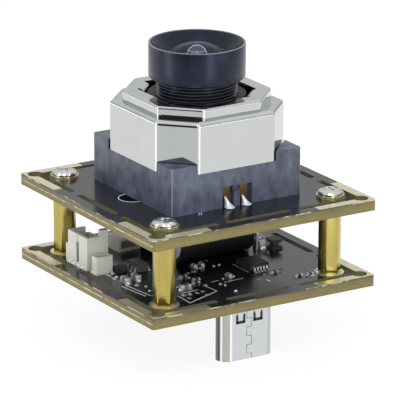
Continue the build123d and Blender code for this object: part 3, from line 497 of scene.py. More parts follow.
def masked_laminate():
    material, tree, point = new_material("masked_glass_fibre_laminate")
    squeezed = add(tree, "ShaderNodeMapping", {"Vector": point, "Scale": LAYER_SQUEEZE})
    layers = add(tree, "ShaderNodeTexNoise", {
        "Vector": squeezed, "Scale": 1 / (LAYER_PITCH * MM), "Detail": 2.0,
    })
    scorch = add(tree, "ShaderNodeTexNoise", {
        "Vector": point, "Scale": 1 / (SCORCH_SIZE * MM), "Detail": 3.0,
    })
    where = add(tree, "ShaderNodeSeparateXYZ", {"Vector": point})
    level = add(tree, "ShaderNodeMath", {0: where.outputs["Z"], 1: BOARD_PITCH * MM}, operation="MODULO")
    outer = score_line_painted_highlight(tree, point, level, layered_tone(tree, level, layers, scorch))
    outer = arris_painted_glints(tree, point, level, outer)
    from_x = add(tree, "ShaderNodeMath", {0: where.outputs["X"]}, operation="ABSOLUTE")
    from_y = add(tree, "ShaderNodeMath", {0: where.outputs["Y"]}, operation="ABSOLUTE")
    furthest = add(tree, "ShaderNodeMath", {0: from_x, 1: from_y}, operation="MAXIMUM")
    outside = add(tree, "ShaderNodeMath", {0: furthest, 1: OUTER_WALL * MM}, operation="GREATER_THAN")
    in_hole = add(tree, "ShaderNodeMath", {0: furthest, 1: HOLE_REACH * MM}, operation="LESS_THAN")
    # hole walls near the middle get a painted shade, near black
    inner = add(tree, "ShaderNodeMix", {
        "Factor": in_hole, MIX_A: linear(SLOT_WALL), MIX_B: linear(HOLE_PAINTED_SHADE),
    }, data_type="RGBA")
    wall = add(tree, "ShaderNodeMix", {"Factor": outside, MIX_A: inner, MIX_B: outer}, data_type="RGBA")
    relief = add(tree, "ShaderNodeBump", {"Height": layers, "Distance": LAYER_DEPTH * MM})
    dullness = add(tree, "ShaderNodeMapRange", {"Value": in_hole, "To Min": 0.36, "To Max": 0.9})
    edge = add(tree, "ShaderNodeBsdfPrincipled", {
        "Base Color": wall, "Roughness": dullness, "IOR": 1.55, "Normal": relief,
    })
    normal = add(tree, "ShaderNodeNewGeometry").outputs["True Normal"]
    upward = add(tree, "ShaderNodeSeparateXYZ", {"Vector": normal}).outputs["Z"]
    upright = add(tree, "ShaderNodeMath", {0: upward}, operation="ABSOLUTE")
    is_face = add(tree, "ShaderNodeMath", {0: upright, 1: 0.5}, operation="GREATER_THAN")
    mix = add(tree, "ShaderNodeMixShader", {0: is_face, 1: edge, 2: mask_shader(tree, point)})
    add(tree, "ShaderNodeOutputMaterial", {"Surface": mix})
    return material


dress(masked_laminate(), "lower_board", "upper_board")

# %% [markdown]
# Metals. Each keeps the default index of refraction and takes its look from colour and
# roughness. Grain that is too fine to show is drawn a little coarser, so that plating still reads
# as haze and drawn bar as streaks.

# %% Metal finishes
# nearly a mirror, with the faint long waves of a drawn and plated sheet
nickel = finish("bright_nickel_plate", "#D2D4D4", "#C9CBCB", 0.06, 0.02, 2.5, 0.0006, metallic=1.0)
# yellow bar with streaks along it, softer than a mirror
brass = finish(
    "turned_brass", "#C6B86A", "#AE9F57", 0.2, 0.03, 1.2, 0.0004, metallic=1.0, stretch=(1, 1, 0.3),
)
# bright, with the small dents of screws plated by the barrel load
screw_nickel = finish("barrel_plated_nickel", "#E2E1DE", "#CBCAC6", 0.1, 0.04, 0.35, 0.004, metallic=1.0)
# pale, matt gold, a film so thin that the rough copper shows through
gold = finish("immersion_gold", "#FBF5DC", "#D6CBA0", 0.36, 0.08, 0.7, 0.003, metallic=0.8)
# paler than the bar, with the soft gloss of a pressed face
washer_brass = finish("pressed_pale_brass", "#EADFA8", "#C6B980", 0.26, 0.05, 0.6, 0.002, metallic=0.8)
# tin and solder are milky: they freeze with a skin of fine crystals
tin = finish("dipped_tin", "#E4E3DF", "#B4B3AE", 0.36, 0.08, 0.3, 0.004, metallic=0.6)
solder = finish("reflowed_solder", "#F4F5F6", "#CDD1D6", 0.26, 0.08, 0.2, 0.01, metallic=0.55)
# strip that has browned a little, with rolled streaks
bronze = finish("phosphor_bronze", "#B59560", "#6E5A3C", 0.26, 0.05, 1.0, 0.0004, metallic=1.0)
# cool and matt: the can is drawn deep and etched
aluminium = finish("drawn_aluminium", "#E2EAF6", "#C8D0DE", 0.5, 0.05, 0.4, 0.001, metallic=0.5)
# fine turns of wire, drawn as ridges round the coil
copper = finish(
    "enamelled_copper_wire", "#B4622E", "#8C4520", 0.3, 0.05, 0.12, 0.02, metallic=1.0, stretch=(1, 1, 3),
)
# rolled thin and bright, as a spring must be
spring_alloy = finish("rolled_copper_alloy", "#CFA26A", "#BD8E58", 0.18, 0.03, 0.5, 0.001, metallic=1.0)
# sintered grains under nickel, so a grey and slightly rough shine
magnet = finish("nickel_coated_magnet", "#9A9A96", "#858580", 0.25, 0.05, 0.4, 0.002, metallic=1.0)

dress(nickel, "motor_can")
dress(washer_brass, "screw_washers")
dress(screw_nickel, "top_screws", "oscillator")
dress(gold, "usb_contacts")
dress(tin, "tall_header_contacts", "small_header_contacts", "rear_header_contacts", "link_pins")
dress(tin, "controller_leads", "regulator_leads", "capacitor_leads")
dress(solder, "terminal_solder")
dress(bronze, "coil_terminals")
dress(aluminium, "capacitor_can")
dress(copper, "motor_coil")
dress(spring_alloy, "upper_leaf_spring", "lower_leaf_spring")
dress(magnet, "motor_magnets")

# %% [markdown]
# The socket's shell is folded from bright strip over a round former. Its colour carries painted
# reflections: white lines where each bend starts and darker grey bands between, the lines and
# bands that a bent mirror shows of the room. The finish asks how far each point faces along the
# shell's width, from its left end round the flat face to its right, because on a fold the way a
# point faces is also how far round the bend it lies.

# %% Folded shell steel
SHELL_PAINTED_REFLECTIONS = (
    (0.0, "#6C6D69"), (0.01, "#4A4B48"), (0.035, "#777873"), (0.05, "#F0F1F0"),
    (0.075, "#FFFFFF"), (0.1, "#B2B4AA"), (0.36, "#B6B8AF"), (0.4, "#FFFFFF"),
    (0.435, "#FFFFFF"), (0.46, "#D4D7D9"), (0.5, "#CFD2D3"), (0.58, "#CFD2D3"),
    (0.66, "#B4B9BC"), (0.8, "#C2C6C8"), (0.95, "#83888B"), (1.0, "#6C7073"),
)
STRIP_STREAK = 0.5
STRIP_SQUEEZE = (1.0, 1.0, 0.08)
STRIP_DEPTH = 0.001


def painted_reflection_steel():
    material, tree, point = new_material("stainless_strip_painted_reflections")
    normal = add(tree, "ShaderNodeNewGeometry").outputs["Normal"]
    sideways = add(tree, "ShaderNodeSeparateXYZ", {"Vector": normal}).outputs["X"]
    round_bend = add(tree, "ShaderNodeMapRange", {"Value": sideways, "From Min": -1.0})
    # painted reflections: a colour ramp over which way the face points
    bend = add(tree, "ShaderNodeValToRGB", {"Fac": round_bend})
    set_stops(bend, SHELL_PAINTED_REFLECTIONS)
    drawn = add(tree, "ShaderNodeMapping", {"Vector": point, "Scale": STRIP_SQUEEZE})
    streak = add(tree, "ShaderNodeTexNoise", {
        "Vector": drawn, "Scale": 1 / (STRIP_STREAK * MM), "Detail": 4.0,
    })
    uneven = add(tree, "ShaderNodeMapRange", {"Value": streak, "To Min": 0.06, "To Max": 0.18})
    relief = add(tree, "ShaderNodeBump", {"Height": streak, "Distance": STRIP_DEPTH * MM})
    shader = add(tree, "ShaderNodeBsdfPrincipled", {
        "Base Color": bend, "Roughness": uneven, "Metallic": 1.0, "Normal": relief,
    })
    add(tree, "ShaderNodeOutputMaterial", {"Surface": shader})
    return material


dress(painted_reflection_steel(), "usb_shell")

# %% [markdown]
# Plastics, rubber and ceramic. Mouldings take the fine spark-eroded grain of their mould, chip
# bodies are epoxy with a dull, slightly grey top, and small chip parts are fired ceramic. Noise
# stands for the grain: modelled grain would cost thousands of faces and look the same.

# %% Moulded and fired finishes
# deep black with a fine even grain, so its highlights are broad and weak
black_moulding = finish("moulded_black_nylon", "#141416", "#1E1E21", 0.5, 0.06, 0.15, 0.004)
# the yellowish white of nylon without dye, a little glossier
white_moulding = finish("moulded_natural_nylon", "#E9E7DC", "#DAD7CA", 0.42, 0.05, 0.4, 0.004)
# drawn tight by heat, so smooth, with a long soft highlight
sleeve = finish("shrunk_black_sleeve", "#161618", "#1F1F22", 0.3, 0.05, 0.8, 0.004)
# dull and warm black
rubber = finish("moulded_butyl_rubber", "#1A1A1A", "#262524", 0.7, 0.05, 0.2, 0.006)
# fine sand in black resin: dull grey when it is seen at a slant
epoxy = finish("moulded_chip_epoxy", "#26272A", "#323337", 0.5, 0.06, 0.12, 0.004)
# the same resin, rubbed paler and smoother
grey_epoxy = finish("rubbed_chip_epoxy", "#5E5A55", "#494642", 0.3, 0.06, 0.3, 0.004)
# pressed powder, dark and visibly grainy
ferrite = finish("pressed_ferrite", "#2B2B2E", "#3C3C40", 0.5, 0.08, 0.15, 0.008)
# brownish grey and matt, the colour of the fired powder
chip_ceramic = finish("fired_barium_ceramic", "#766F62", "#8E8678", 0.45, 0.06, 0.2, 0.003)
# dark alumina with a dry surface
package_ceramic = finish("fired_alumina_package", "#55504A", "#646058", 0.55, 0.06, 0.2, 0.003)
# a mirror with a violet cast from its fine circuits
silicon = finish("polished_silicon_die", "#2A2C44", "#38385A", 0.08, 0.03, 0.5, 0.0002, metallic=0.6)

dress(black_moulding, "lens_carrier", "upper_spring_frame", "usb_tongue", "link_socket", "link_plug")
dress(white_moulding, "tall_header_housing", "small_header_housing", "rear_header_housing")
dress(sleeve, "capacitor_sleeve")
dress(rubber, "capacitor_bung")
dress(grey_epoxy, "regulator_chip")
dress(epoxy, "controller_chip", "image_processor", "small_diode", "chip_resistors")
dress(ferrite, "power_inductor")
dress(chip_ceramic, "ceramic_capacitors")
dress(package_ceramic, "sensor_package")
dress(silicon, "sensor_die")

# %% [markdown]
# The lens parts are turned aluminium, anodised black. The tool leaves the skin smooth round the
# hood. The rim and the thread crests are a paler grey: partly the oxide worn thin on a sharp
# edge, partly a painted highlight for the light that they catch from above. Edge wear is often
# painted by hand or read from the mesh's sharpness. Here an edge is simply a distance: up the
# axis for the rim, out from it for the crests.

# %% Anodised finish
ANODISED_BLACK = "#11141C"
ANODISED_SECOND = "#171B25"
ANODISED_WEAR_AND_HIGHLIGHT = "#8B8E94"
ANODISED_SHEEN = "#C0C8EC"
ANODISED_GRAIN = 0.3
ANODISED_DEPTH = 0.0005
ANODISED_SPREAD = 0.02
RIM_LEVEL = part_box("lens_barrel")[1].z / MM


def anodised_black(name, roughness, axis, edge_start, edge_end, wear_and_highlight):
    """Black anodised metal, paler past a height (axis Z) or a radius (axis R), for thin oxide and a painted
    highlight on the edge.
    """
    material, tree, point = new_material(name)
    grain = add(tree, "ShaderNodeTexNoise", {
        "Vector": point, "Scale": 1 / (ANODISED_GRAIN * MM), "Detail": 3.0,
    })
    skin = add(tree, "ShaderNodeMix", {
        "Factor": grain, MIX_A: linear(ANODISED_BLACK), MIX_B: linear(ANODISED_SECOND),
    }, data_type="RGBA")
    if axis == "Z":
        measure = add(tree, "ShaderNodeSeparateXYZ", {"Vector": point}).outputs["Z"]
    else:
        flat = add(tree, "ShaderNodeVectorMath", {0: point, 1: (1, 1, 0)}, operation="MULTIPLY")
        measure = add(tree, "ShaderNodeVectorMath", {0: flat}, operation="LENGTH")
    # paler edges: partly thin oxide, partly a painted highlight
    edge_wear_and_highlight = add(tree, "ShaderNodeMapRange", {
        "Value": measure, "From Min": edge_start * MM, "From Max": edge_end * MM, "To Max": wear_and_highlight,
    })
    tone = add(tree, "ShaderNodeMix", {
        "Factor": edge_wear_and_highlight, MIX_A: skin, MIX_B: linear(ANODISED_WEAR_AND_HIGHLIGHT),
    }, data_type="RGBA")
    relief = add(tree, "ShaderNodeBump", {"Height": grain, "Distance": ANODISED_DEPTH * MM})
    uneven = add(tree, "ShaderNodeMapRange", {
        "Value": grain, "To Min": roughness - ANODISED_SPREAD, "To Max": roughness + ANODISED_SPREAD,
    })
    shader = add(tree, "ShaderNodeBsdfPrincipled", {
        "Base Color": tone, "Roughness": uneven, "IOR": 1.5,
        "Normal": relief, "Specular Tint": linear(ANODISED_SHEEN),
    })
    add(tree, "ShaderNodeOutputMaterial", {"Surface": shader})
    return material


anodised = anodised_black("black_anodised_aluminium", 0.27, "Z", RIM_LEVEL - 0.1, RIM_LEVEL - 0.03, 0.8)
turned_thread = anodised_black("black_anodised_thread", 0.2, "R", 5.9, 5.96, 0.35)
dress(anodised, "lens_barrel", "lens_retaining_ring", "front_spacer", "rear_spacer", "aperture_stop")

# %% [markdown]
# The motor base is liquid crystal polymer, filled with glass. It flows badly, so its skin is
# mottled: cloudy grey-blue where fibre lies at the surface, near black between. Two noises of
# different size add up to that. The upright corners are painted pale, a painted highlight along
# each corner edge, and a point is near a corner if both X and Y are far out.

# %% Motor base
BASE_DARK = "#363A46"
BASE_LIGHT = "#646A80"
BASE_CORNER_HIGHLIGHT = "#A4A9B4"
BASE_CLOUD = 3.4
BASE_STREAK = 1.4
BASE_CORNER = (0.16, 0.04)
BASE_HIGHLIGHT_SHARE = 0.75
BASE_DEPTH = 0.008


def cloudy_moulding():
    material, tree, point = new_material("moulded_liquid_crystal_polymer")
    cloud = add(tree, "ShaderNodeTexNoise", {
        "Vector": point, "Scale": 1 / (BASE_CLOUD * MM), "Detail": 7.0, "Roughness": 0.6, "Distortion": 1.2,
    })
    fibre = add(tree, "ShaderNodeMapping", {"Vector": point, "Scale": (1.0, 1.0, 0.6)})
    streak = add(tree, "ShaderNodeTexNoise", {
        "Vector": fibre, "Scale": 1 / (BASE_STREAK * MM), "Detail": 5.0,
    })
    mottle = add(tree, "ShaderNodeMath", {0: cloud, 1: streak}, operation="ADD")
    amount = add(tree, "ShaderNodeMapRange", {"Value": mottle, "From Min": 0.72, "From Max": 1.28})
    skin = add(tree, "ShaderNodeMix", {
        "Factor": amount, MIX_A: linear(BASE_DARK), MIX_B: linear(BASE_LIGHT),
    }, data_type="RGBA")
    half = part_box("motor_base")[1].x
    where = add(tree, "ShaderNodeSeparateXYZ", {"Vector": point})
    from_x = add(tree, "ShaderNodeMath", {0: where.outputs["X"]}, operation="ABSOLUTE")
    from_y = add(tree, "ShaderNodeMath", {0: where.outputs["Y"]}, operation="ABSOLUTE")
    nearest = add(tree, "ShaderNodeMath", {0: from_x, 1: from_y}, operation="MINIMUM")
    # painted highlight on the upright corners
    corner = add(tree, "ShaderNodeMapRange", {
        "Value": nearest, "From Min": half - BASE_CORNER[0] * MM, "From Max": half - BASE_CORNER[1] * MM,
        "To Max": BASE_HIGHLIGHT_SHARE,
    })
    tone = add(tree, "ShaderNodeMix", {
        "Factor": corner, MIX_A: skin, MIX_B: linear(BASE_CORNER_HIGHLIGHT),
    }, data_type="RGBA")
    sheen = add(tree, "ShaderNodeMapRange", {"Value": mottle, "To Min": 0.6, "To Max": 0.3})
    relief = add(tree, "ShaderNodeBump", {"Height": mottle, "Distance": BASE_DEPTH * MM})
    shader = add(tree, "ShaderNodeBsdfPrincipled", {
        "Base Color": tone, "Roughness": sheen, "IOR": 1.6, "Normal": relief,
    })
    add(tree, "ShaderNodeOutputMaterial", {"Surface": shader})
    return material


dress(cloudy_moulding(), "motor_base")

# %% [markdown]
# Lens glass is clear, so what is seen is its coating: a thin film that turns the reflection
# violet. The thin film sockets of the shader do the same sum as the real layer, and their
# thickness is in nanometres. A slight haze is the dust that no lens is free of.

# %% Optical finishes
HAZE_SIZE = 1.5
FILM_IOR = 1.38
GLASS_IOR = 1.6


def coated_glass(name, tint, film):
    material, tree, point = new_material(name)
    haze = add(tree, "ShaderNodeTexNoise", {"Vector": point, "Scale": 1 / (HAZE_SIZE * MM)})
    uneven = add(tree, "ShaderNodeMapRange", {"Value": haze, "To Min": 0.0, "To Max": 0.03})
    shader = add(tree, "ShaderNodeBsdfPrincipled", {
        "Base Color": linear(tint), "Roughness": uneven, "IOR": GLASS_IOR,
        "Transmission Weight": 1.0, "Thin Film Thickness": film, "Thin Film IOR": FILM_IOR,
    })
    add(tree, "ShaderNodeOutputMaterial", {"Surface": shader})
    return material


dress(coated_glass("coated_optical_glass", "#F0F2FF", 110.0), "second_lens_element", "rear_lens_element")
dress(coated_glass("sensor_cover_sheet_glass", "#F4F8F6", 0.0), "sensor_cover_glass")
dress(coated_glass("infrared_filter_glass", "#BFE6E2", 300.0), "ir_filter")

# %% [markdown]
# The front glass gets a lighter recipe. Bent light through five curved surfaces would be slow
# and noisy at this size, so the skin is a clear film over what lies behind it, and it turns
# opaque as the surface turns away. Its colour pales at the slanted outline, a painted reflection
# of the bright rim that glass shows at a slant.

# %% Front glass finish
COATING_DEEP = "#383A54"
COATING_PAINTED_RIM = "#9C9EC4"
COATING_CLEAR = "#F2F2FC"
VEIL_SLANT = (0.6, 1.0)
VEIL_AMOUNT = (0.34, 0.95)
OUTLINE_SLANT = (0.8, 0.93)


def front_glass():
    material, tree, point = new_material("coated_front_glass")
    haze = add(tree, "ShaderNodeTexNoise", {"Vector": point, "Scale": 1 / (HAZE_SIZE * MM)})
    uneven = add(tree, "ShaderNodeMapRange", {"Value": haze, "To Min": 0.02, "To Max": 0.05})
    slant = add(tree, "ShaderNodeLayerWeight", {"Blend": 0.5}).outputs["Facing"]
    # painted reflection: the colour pales at the slanted outline
    outline = add(tree, "ShaderNodeMapRange", {
        "Value": slant, "From Min": OUTLINE_SLANT[0], "From Max": OUTLINE_SLANT[1],
    })
    tone = add(tree, "ShaderNodeMix", {
        "Factor": outline, MIX_A: linear(COATING_DEEP), MIX_B: linear(COATING_PAINTED_RIM),
    }, data_type="RGBA")
    coated = add(tree, "ShaderNodeBsdfPrincipled", {
        "Base Color": tone, "Roughness": uneven, "IOR": GLASS_IOR,
    })
    clear = add(tree, "ShaderNodeBsdfTransparent", {"Color": linear(COATING_CLEAR)})
    veil = add(tree, "ShaderNodeMapRange", {
        "Value": slant, "From Min": VEIL_SLANT[0], "From Max": VEIL_SLANT[1],
        "To Min": VEIL_AMOUNT[0], "To Max": VEIL_AMOUNT[1],
    })
    mix = add(tree, "ShaderNodeMixShader", {0: veil, 1: clear, 2: coated})
    add(tree, "ShaderNodeOutputMaterial", {"Surface": mix})
    return material


# %% [markdown]
# New pieces are made as by hand: a primitive, then edit mode. The helpers keep that short. They
# start a piece clean, go in and out of edit mode, turn an outline into a round body as a lathe
# does, and end a piece: transforms applied, doubles merged, faces outwards, edges smoothed.

# %% Modelling helpers
ROUND_STEPS = 96
MERGE = 0.0005 * MM


def start_piece():
    """Leaves edit mode and deselects everything, so that an operator acts on the new piece alone."""
    if bpy.context.object and bpy.context.object.mode != "OBJECT":
        leave_edit()
    bpy.ops.object.select_all(action="DESELECT")


def edit_whole():
    """Goes into edit mode with the whole mesh selected."""
    bpy.ops.object.mode_set(mode="EDIT")
    bpy.ops.mesh.select_all(action="SELECT")


def leave_edit():
    bpy.ops.object.mode_set(mode="OBJECT")


def apply_place():
    """Puts the active object's place, turn and size into its mesh, and returns it."""
    bpy.ops.object.transform_apply(location=True, rotation=True, scale=True)
    return bpy.context.object


def end_piece(name, angle=30.0):
    """Merges doubles, turns faces outwards, smooths shallow edges and names the piece."""
    edit_whole()
    bpy.ops.mesh.remove_doubles(threshold=MERGE)
    bpy.ops.mesh.normals_make_consistent(inside=False)
    leave_edit()
    piece = apply_place()
    bpy.ops.object.shade_smooth_by_angle(angle=math.radians(angle))
    piece.name = name
    piece.data.name = name
    return piece


def select_parts(parts):
    """Selects some objects, the first one active."""
    start_piece()
    for part in parts:
        part.select_set(True)
    bpy.context.view_layer.objects.active = parts[0]


def join_parts(name, parts, angle=40.0):
    select_parts(parts)
    bpy.ops.object.join()
    return end_piece(name, angle)


def place_piece(piece, material, body):
    """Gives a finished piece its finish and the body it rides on."""
    piece.data.materials.clear()
    piece.data.materials.append(material)
    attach(piece, body)
    print(piece.name, len(piece.data.polygons), "faces")
    return piece


# %% [markdown]
# A lathe turns a bar against a tool that follows an outline. Spin does the same: a chain of
# edges is extruded from corner to corner in the XZ plane, then swept once about Z.

# %% Lathe helper


def outline_chain(corners):
    """A closed chain of edges through (radius, height) corners in millimetres, left in edit mode."""
    start_piece()
    first = Vector((corners[0][0], 0, corners[0][1])) * MM
    bpy.ops.mesh.primitive_plane_add(size=1 * MM, location=first)
    apply_place()
    edit_whole()
    bpy.ops.mesh.merge(type="CENTER")
    for (r0, z0), (r1, z1) in zip(corners, [*corners[1:], corners[0]]):
        step = ((r1 - r0) * MM, 0, (z1 - z0) * MM)
        bpy.ops.mesh.extrude_region_move(TRANSFORM_OT_translate={"value": step})
    bpy.ops.mesh.select_all(action="SELECT")
    bpy.ops.mesh.remove_doubles(threshold=MERGE)
    return bpy.context.object


def turned(name, corners):
    outline_chain(corners)
    bpy.ops.mesh.select_all(action="SELECT")
    bpy.ops.mesh.spin(steps=ROUND_STEPS, angle=2 * math.pi, center=(0, 0, 0), axis=(0, 0, 1))
    return end_piece(name)


# %% [markdown]
# The lens barrel is turned from one bar: a hood, a dished front, and an M12 x 0.5 thread below.
# The solid has a plain cylinder where the thread is, so the barrel is turned again here with a
# thinner core. The front is one cone from the rim down to the retaining ring.

# %% Lens barrel
barrel_low, barrel_high = (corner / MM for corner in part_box("lens_barrel"))
HOOD_TOP = barrel_high.z
HOOD_RADIUS = barrel_high.x
HOOD_BOTTOM = HOOD_TOP - 5.05
BARREL_BOTTOM = barrel_low.z
RIM_INNER = 6.8
RING_RADIUS = 6.0
RING_BORE = 4.85
CONE_DEPTH = 2.263
RING_TOP = HOOD_TOP - (RIM_INNER - RING_RADIUS) * CONE_DEPTH / (RIM_INNER - RING_BORE)
RING_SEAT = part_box("lens_retaining_ring")[0].z / MM
GLASS_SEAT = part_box("front_lens_element")[0].z / MM
GLASS_BORE = 5.55
BARREL_BORE = 4.5
LIP_RADIUS = 3.4
LIP_TOP = BARREL_BOTTOM + 1.0
THREAD_ROOT = 5.7

barrel = turned("lens_barrel_turned", [
    (LIP_RADIUS, BARREL_BOTTOM),
    (THREAD_ROOT, BARREL_BOTTOM),
    (THREAD_ROOT, HOOD_BOTTOM),
    (HOOD_RADIUS - 0.15, HOOD_BOTTOM),
    (HOOD_RADIUS - 0.04, HOOD_BOTTOM + 0.05),
    (HOOD_RADIUS, HOOD_BOTTOM + 0.15),
    (HOOD_RADIUS, HOOD_TOP - 0.1),
    (HOOD_RADIUS - 0.03, HOOD_TOP - 0.03),
    (HOOD_RADIUS - 0.1, HOOD_TOP),
    (RIM_INNER + 0.05, HOOD_TOP),
    (RIM_INNER, HOOD_TOP - 0.05),
    (RING_RADIUS, RING_TOP),
    (RING_RADIUS, RING_SEAT),
    (GLASS_BORE, RING_SEAT),
    (GLASS_BORE, GLASS_SEAT),
    (BARREL_BORE, GLASS_SEAT),
    (BARREL_BORE, LIP_TOP),
    (LIP_RADIUS, LIP_TOP),
])
place_piece(barrel, anodised, "lens")
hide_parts("lens_barrel")

# %% [markdown]
# A thread could be a bump pattern, but its crests show against the light at both sides of the
# barrel. So it is real: one small triangle, swept up the core by the Screw modifier, and closed
# with a face at each end.

# %% Lens thread
THREAD_CREST = 6.0
THREAD_PITCH = 0.5
THREAD_RUN_OUT = 0.08
CREST_FLAT = 0.03
ROOT_SINK = 0.05


def barrel_thread():
    half = THREAD_PITCH * 0.46
    turns = int((HOOD_BOTTOM - BARREL_BOTTOM) / THREAD_PITCH) - 2
    low = HOOD_BOTTOM - THREAD_RUN_OUT - turns * THREAD_PITCH - 2 * half
    piece = outline_chain([
        (THREAD_ROOT - ROOT_SINK, low),
        (THREAD_CREST - CREST_FLAT, low + half * 0.9),
        (THREAD_CREST - CREST_FLAT, low + half * 1.1),
        (THREAD_ROOT - ROOT_SINK, low + 2 * half),
    ])
    leave_edit()
    screw = piece.modifiers.new("thread", "SCREW")
    screw.angle = 2 * math.pi
    screw.screw_offset = THREAD_PITCH * MM
    screw.iterations = turns
    screw.steps = ROUND_STEPS
    screw.render_steps = ROUND_STEPS
    screw.use_merge_vertices = True
    bpy.ops.object.modifier_apply(modifier=screw.name)
    bpy.ops.object.mode_set(mode="EDIT")
    bpy.ops.mesh.select_all(action="DESELECT")
    bpy.ops.mesh.select_non_manifold()
    bpy.ops.mesh.edge_face_add()
    return end_piece("lens_barrel_thread")


place_piece(barrel_thread(), turned_thread, "lens")

# %% [markdown]
# A wide-angle front lens is a shell: its back is hollowed to a small steep dome, and that dome
# is the bright ring in the middle of the glass. It is a ball's upper half, cut off flat, with a
# pale band painted round it, a painted reflection of the parts inside the lens. Its slanted rim
# glows, a painted reflection of the sky.

# %% Hollow back of the front lens
DOME_RADIUS = 1.44
DOME_DROP = 2.0
DOME_BAND = (0.6, 0.85)
DOME_DARK = "#4A4E5A"
DOME_PAINTED_RING = "#B9BDC6"
DOME_PAINTED_SKY = "#F4F6FA"
DOME_PAINTED_SKY_LEVEL = 1.3
DOME_SLANT = (0.64, 0.78)
DOME_HAZE = 0.6


def dome_glass():
    material, tree, point = new_material("hollow_glass_back")
    height = add(tree, "ShaderNodeSeparateXYZ", {"Vector": point}).outputs["Z"]
    low, high = DOME_BAND
    middle = (low + high) / 2 - DOME_DROP + HOOD_TOP
    in_band = add(tree, "ShaderNodeMath", {
        0: height, 1: middle * MM, 2: (high - low) / 2 * MM,
    }, operation="COMPARE")
    haze = add(tree, "ShaderNodeTexNoise", {"Vector": point, "Scale": 1 / (DOME_HAZE * MM)})
    uneven = add(tree, "ShaderNodeMapRange", {"Value": haze, "To Min": 0.05, "To Max": 0.12})
    # painted reflection: a pale band round the dome
    tone = add(tree, "ShaderNodeMix", {
        "Factor": in_band, MIX_A: linear(DOME_DARK), MIX_B: linear(DOME_PAINTED_RING),
    }, data_type="RGBA")
    glass = add(tree, "ShaderNodeBsdfPrincipled", {"Base Color": tone, "Roughness": uneven, "IOR": 2.0})
    # painted reflection: the slanted rim glows as the sky would show in it
    sky = add(tree, "ShaderNodeEmission", {"Color": linear(DOME_PAINTED_SKY), "Strength": DOME_PAINTED_SKY_LEVEL})
    slant = add(tree, "ShaderNodeLayerWeight", {"Blend": 0.5}).outputs["Facing"]
    rim = add(tree, "ShaderNodeMapRange", {
        "Value": slant, "From Min": DOME_SLANT[0], "From Max": DOME_SLANT[1],
    })
    mix = add(tree, "ShaderNodeMixShader", {0: rim, 1: glass, 2: sky})
    add(tree, "ShaderNodeOutputMaterial", {"Surface": mix})
    return material


def back_dome():
    start_piece()
    centre = (0, 0, (HOOD_TOP - DOME_DROP) * MM)
    bpy.ops.mesh.primitive_uv_sphere_add(segments=48, ring_count=32, radius=DOME_RADIUS * MM, location=centre)
    apply_place()
    edit_whole()
    bpy.ops.mesh.bisect(plane_co=centre, plane_no=(0, 0, 1), use_fill=True, clear_inner=True)
    return end_piece("front_lens_hollow", 60.0)


place_piece(back_dome(), dome_glass(), "lens")

# %% [markdown]
# A polished skin shows every facet of the solid under it. So the front glass is a copy of its
# own solid, with the loose triangles merged and shaded as one smooth skin. The copy keeps the
# solid's shape exactly, and only the way that light runs over it changes.

# %% Polished front glass
COPY_MERGE = 0.001 * MM


def merged_copy(name, node):
    """A copy of a CAD node with its loose triangles merged, left whole in edit mode."""
    start_piece()
    copy = bpy.data.objects.new(name, nodes[node].data.copy())
    bpy.context.scene.collection.objects.link(copy)
    select_parts([copy])
    edit_whole()
    bpy.ops.mesh.remove_doubles(threshold=COPY_MERGE)
    return copy


merged_copy("front_lens_polished", "front_lens_element")
front_lens = place_piece(end_piece("front_lens_polished", 40.0), front_glass(), "lens")
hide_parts("front_lens_element")

# %% [markdown]
# Where a thin metal or ink layer lies on a board it is a real layer, a few hundredths of a
# millimetre thick. It could be painted in the board's material, but a real layer has an edge that
# catches light. Flat marks are laid at their place, joined, and Solidify thickens them all.

# %% Flat layers on the boards
LAYER_THICKNESS = 0.03
INK_THICKNESS = 0.02


def tile(centre, size, turn=0.0):
    """One flat tile, its centre in millimetres, turned about Z."""
    bpy.ops.mesh.primitive_plane_add(size=1, location=[c * MM for c in centre], rotation=(0, 0, turn))
    bpy.context.object.scale = (size[0] * MM, size[1] * MM, 1)
    return apply_place()


def stroke(start, end, width, level):
    """A straight printed line between two points on a board."""
    run = Vector(end) - Vector(start)
    middle = (Vector(start) + Vector(end)) / 2
    return tile((middle.x, middle.y, level), (run.length + width, width), math.atan2(run.y, run.x))


def ring_mark(centre, inner, outer, level, steps=40):
    """A flat ring, made by bridging two circles."""
    start_piece()
    place = [c * MM for c in (*centre, level)]
    circles = []
    for radius in (outer, inner):
        bpy.ops.mesh.primitive_circle_add(vertices=steps, radius=radius * MM, location=place)
        circles.append(apply_place())
    circles[0].select_set(True)
    bpy.ops.object.join()
    edit_whole()
    bpy.ops.mesh.bridge_edge_loops()
    leave_edit()
    return bpy.context.object


def join_layer(name, parts, thickness, upward=True):
    """Joins flat marks and thickens them away from the board."""
    select_parts(parts)
    bpy.ops.object.join()
    edit_whole()
    bpy.ops.mesh.normals_make_consistent(inside=False)
    leave_edit()
    piece = bpy.context.object
    flat_up = sum(p.normal.z * p.area for p in piece.data.polygons) > 0
    if flat_up != upward:
        edit_whole()
        bpy.ops.mesh.flip_normals()
        leave_edit()
    solid = piece.modifiers.new("thickness", "SOLIDIFY")
    solid.thickness = thickness * MM
    solid.offset = 1.0
    bpy.ops.object.modifier_apply(modifier=solid.name)
    piece.name = name
    piece.data.name = name
    return piece


# %% [markdown]
# Each corner of both boards carries an L of bare gold on its outer rail, and round each
# mounting hole of the lower board lies a gold ring. The L is one square tile bisected along the
# slot's two sides, with the inner part deleted, and a Boolean cuts the round reliefs.

# %% Gilt corners and rings
board_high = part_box("lower_board")[1] / MM
BOARD_HALF = board_high.x
LOWER_TOP = board_high.z
UPPER_BOTTOM, UPPER_TOP = (corner.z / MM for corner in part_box("upper_board"))
SLOT_OUTER = 17.45
GILT_START = 9.15
GILT_EDGE = 0.1
RELIEF_CENTRE = 17.3
RELIEF_RADIUS = 1.2
HOLE_OFFSET = 14.15
HOLE_RADIUS = 1.1
PAD_RADIUS = 2.2
CORNER_SIGNS = [(sx, sy) for sx in (-1, 1) for sy in (-1, 1)]


